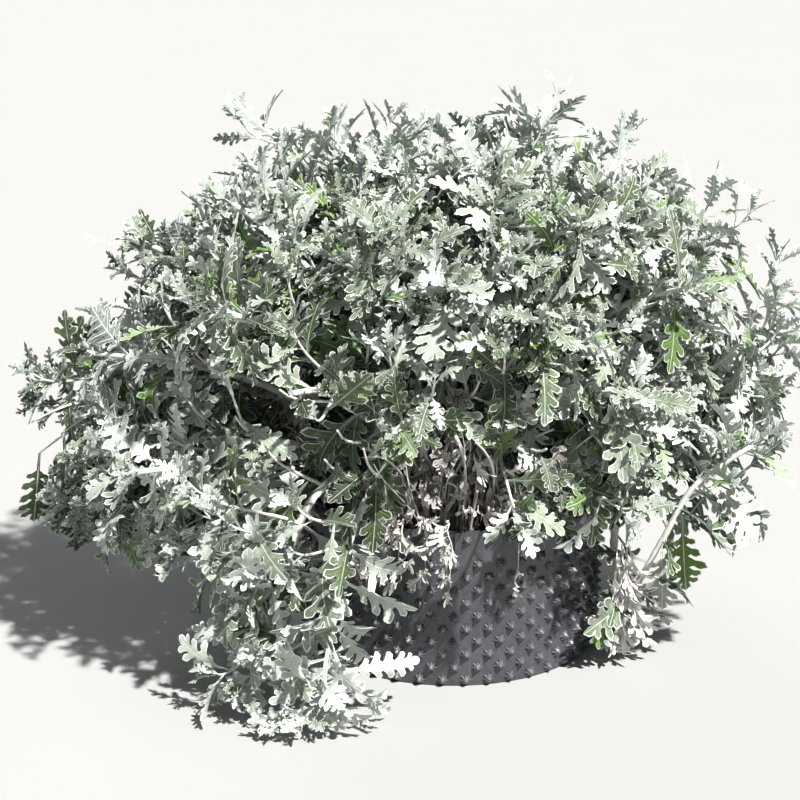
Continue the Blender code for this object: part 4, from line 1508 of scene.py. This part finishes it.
def makeSoil():
    look = soilLook
    depth = look["top"] - look["bottom"]
    bpy.ops.mesh.primitive_cylinder_add(vertices=look["sides"], radius=look["radius"], depth=depth,
                                        location=(0, 0, look["bottom"] + depth / 2), end_fill_type="NGON")
    soil = bpy.context.object
    selectOnly(soil)
    bpy.ops.object.transform_apply(location=True, rotation=True, scale=True)
    soil.name = soil.data.name = "pottingSoil"
    bpy.ops.object.mode_set(mode="EDIT")
    bpy.ops.mesh.select_mode(type="FACE")
    bpy.ops.mesh.select_all(action="DESELECT")
    bpy.ops.object.mode_set(mode="OBJECT")
    for polygon in soil.data.polygons:
        polygon.select = polygon.normal.z > 0.9
    bpy.ops.object.mode_set(mode="EDIT")
    for _ in range(look["rings"]):
        bpy.ops.mesh.inset(thickness=look["radius"] / (look["rings"] + 1.5), depth=0)
    bpy.ops.object.mode_set(mode="OBJECT")
    (wideScale, wideShare), (fineScale, fineShare) = look["wide"], look["fine"]
    for vertex in soil.data.vertices:
        radius = math.hypot(vertex.co.x, vertex.co.y)
        if vertex.co.z > look["top"] - look["settled"] and radius < look["radius"] - look["edge"]:
            wide = noise.noise(vertex.co * wideScale)
            fine = noise.noise(vertex.co * fineScale + Vector(look["fineShift"]))
            vertex.co.z += look["lump"] * (wideShare * wide + fineShare * fine) - look["settled"]
    soil.data.materials.append(pottingMix)
    soil.data.shade_smooth()
    placePiece(soil, "soil")


def makeChips():
    look = soilLook
    chance = random.Random(909)
    cube = np.array([(x, y, z) for x in (-1, 1) for y in (-1, 1) for z in (-1, 1)], float)
    faces = [[0, 1, 3, 2], [4, 6, 7, 5], [0, 4, 5, 1], [2, 3, 7, 6], [0, 2, 6, 4], [1, 5, 7, 3]]
    blocks = []
    for _ in range(look["chips"]):
        azimuth, radius = chance.uniform(0, math.tau), look["chipReach"] * math.sqrt(chance.random())
        size = np.array([chance.uniform(*sizes) for sizes in look["chipSizes"]])
        wear = np.array([[chance.uniform(*look["chipWear"]) for _ in range(3)] for _ in cube])
        x, y, z = (cube * size * wear).T
        turn, tip = chance.uniform(0, math.tau), chance.uniform(*look["chipTips"])
        c, s = math.cos(turn), math.sin(turn)
        block = np.column_stack([x * c - y * s, x * s + y * c, z + x * tip])
        blocks.append(block + np.array(onCircle(azimuth, radius, look["top"] + look["chipRise"])))
    placePiece(newPiece("soilChips", *joinBlocks(blocks, faces), [bark]))


makeSoil()
makeChips()
print("soil made")

# Studio: a pale floor, a soft key from the upper right in front, and a pale sky
studio = {
    "floor": (0.375, 0.373, 0.370), "floorLighter": 1.012, "floorNoise": 3.0, "floorRough": 0.9,
    "floorSize": 90.0,
    "sky": (0.84, 0.92, 1.0), "skyStrength": 0.17, "haze": (0.0, 0.05), "hazeColour": (0.90, 0.90, 0.89),
    "sunAway": 3, "target": (-0.067, 0, 0.314), "distance": 2.6, "elevation": math.radians(17.0),
    "lens": 90.7, "sensor": 36,
}
bpy.ops.object.select_all(action="DESELECT")
bpy.ops.mesh.primitive_plane_add(size=studio["floorSize"], location=(0, 0, 0))
floor = bpy.context.object
floor.name = "studioFloor"
floorPaint, tree, shader = newMaterial("floorPaint", studio["floorRough"])
lighter = tuple(min(1, value * studio["floorLighter"]) for value in studio["floor"])
patches = noiseNode(tree, objectPlace(tree), studio["floorNoise"], 2)
tree.links.new(rampNode(tree, patches, ((0.3, studio["floor"]), (0.7, lighter))), shader.inputs["Base Color"])
floor.data.materials.append(floorPaint)

world = bpy.data.worlds.new("studioSky")
world.use_nodes = True
skyTree = world.node_tree
heading = skyTree.nodes.new("ShaderNodeSeparateXYZ")
skyTree.links.new(skyTree.nodes.new("ShaderNodeTexCoord").outputs["Generated"], heading.inputs[0])
aboveHaze = rangeNode(skyTree, heading.outputs["Z"], *studio["haze"])
dimSky = tuple(value * studio["skyStrength"] for value in studio["sky"])
skyColour = mixNode(skyTree, aboveHaze, studio["hazeColour"], dimSky)
skyTree.links.new(skyColour, skyTree.nodes["Background"].inputs["Color"])
bpy.context.scene.world = world


def addAimed(name, data, place, target):
    thing = bpy.data.objects.new(name, data)
    thing.location = place
    thing.rotation_euler = (Vector(target) - thing.location).to_track_quat("-Z", "Y").to_euler()
    bpy.context.collection.objects.link(thing)
    return thing


def addLight(name, kind, place, target, **values):
    light = addAimed(name, bpy.data.lights.new(name, kind), place, target)
    for key, value in values.items():
        setattr(light.data, key, value)


middle = (0, 0, 0)
addLight("keyLight", "SUN", Vector((0.48, -0.52, 0.95)) * studio["sunAway"], middle,
         energy=8.7, angle=math.radians(2.0), color=(1.0, 0.98, 0.95))
addLight("backLight", "SUN", Vector((-0.55, 0.75, 0.65)) * studio["sunAway"], middle,
         energy=0.8, angle=math.radians(35.0))
addLight("fillLight", "AREA", (-2.2, -2.0, 1.6), (0, 0, 0.3), energy=2.0, size=2.0)

toTarget = Vector((0, math.cos(studio["elevation"]), -math.sin(studio["elevation"]))) * studio["distance"]
viewpoint = Vector(studio["target"]) - toTarget
camera = addAimed("camera", bpy.data.cameras.new("camera"), viewpoint, studio["target"])
camera.data.lens = studio["lens"]
camera.data.sensor_width = studio["sensor"]
bpy.context.scene.camera = camera
bpy.context.scene.view_settings.view_transform = "Standard"
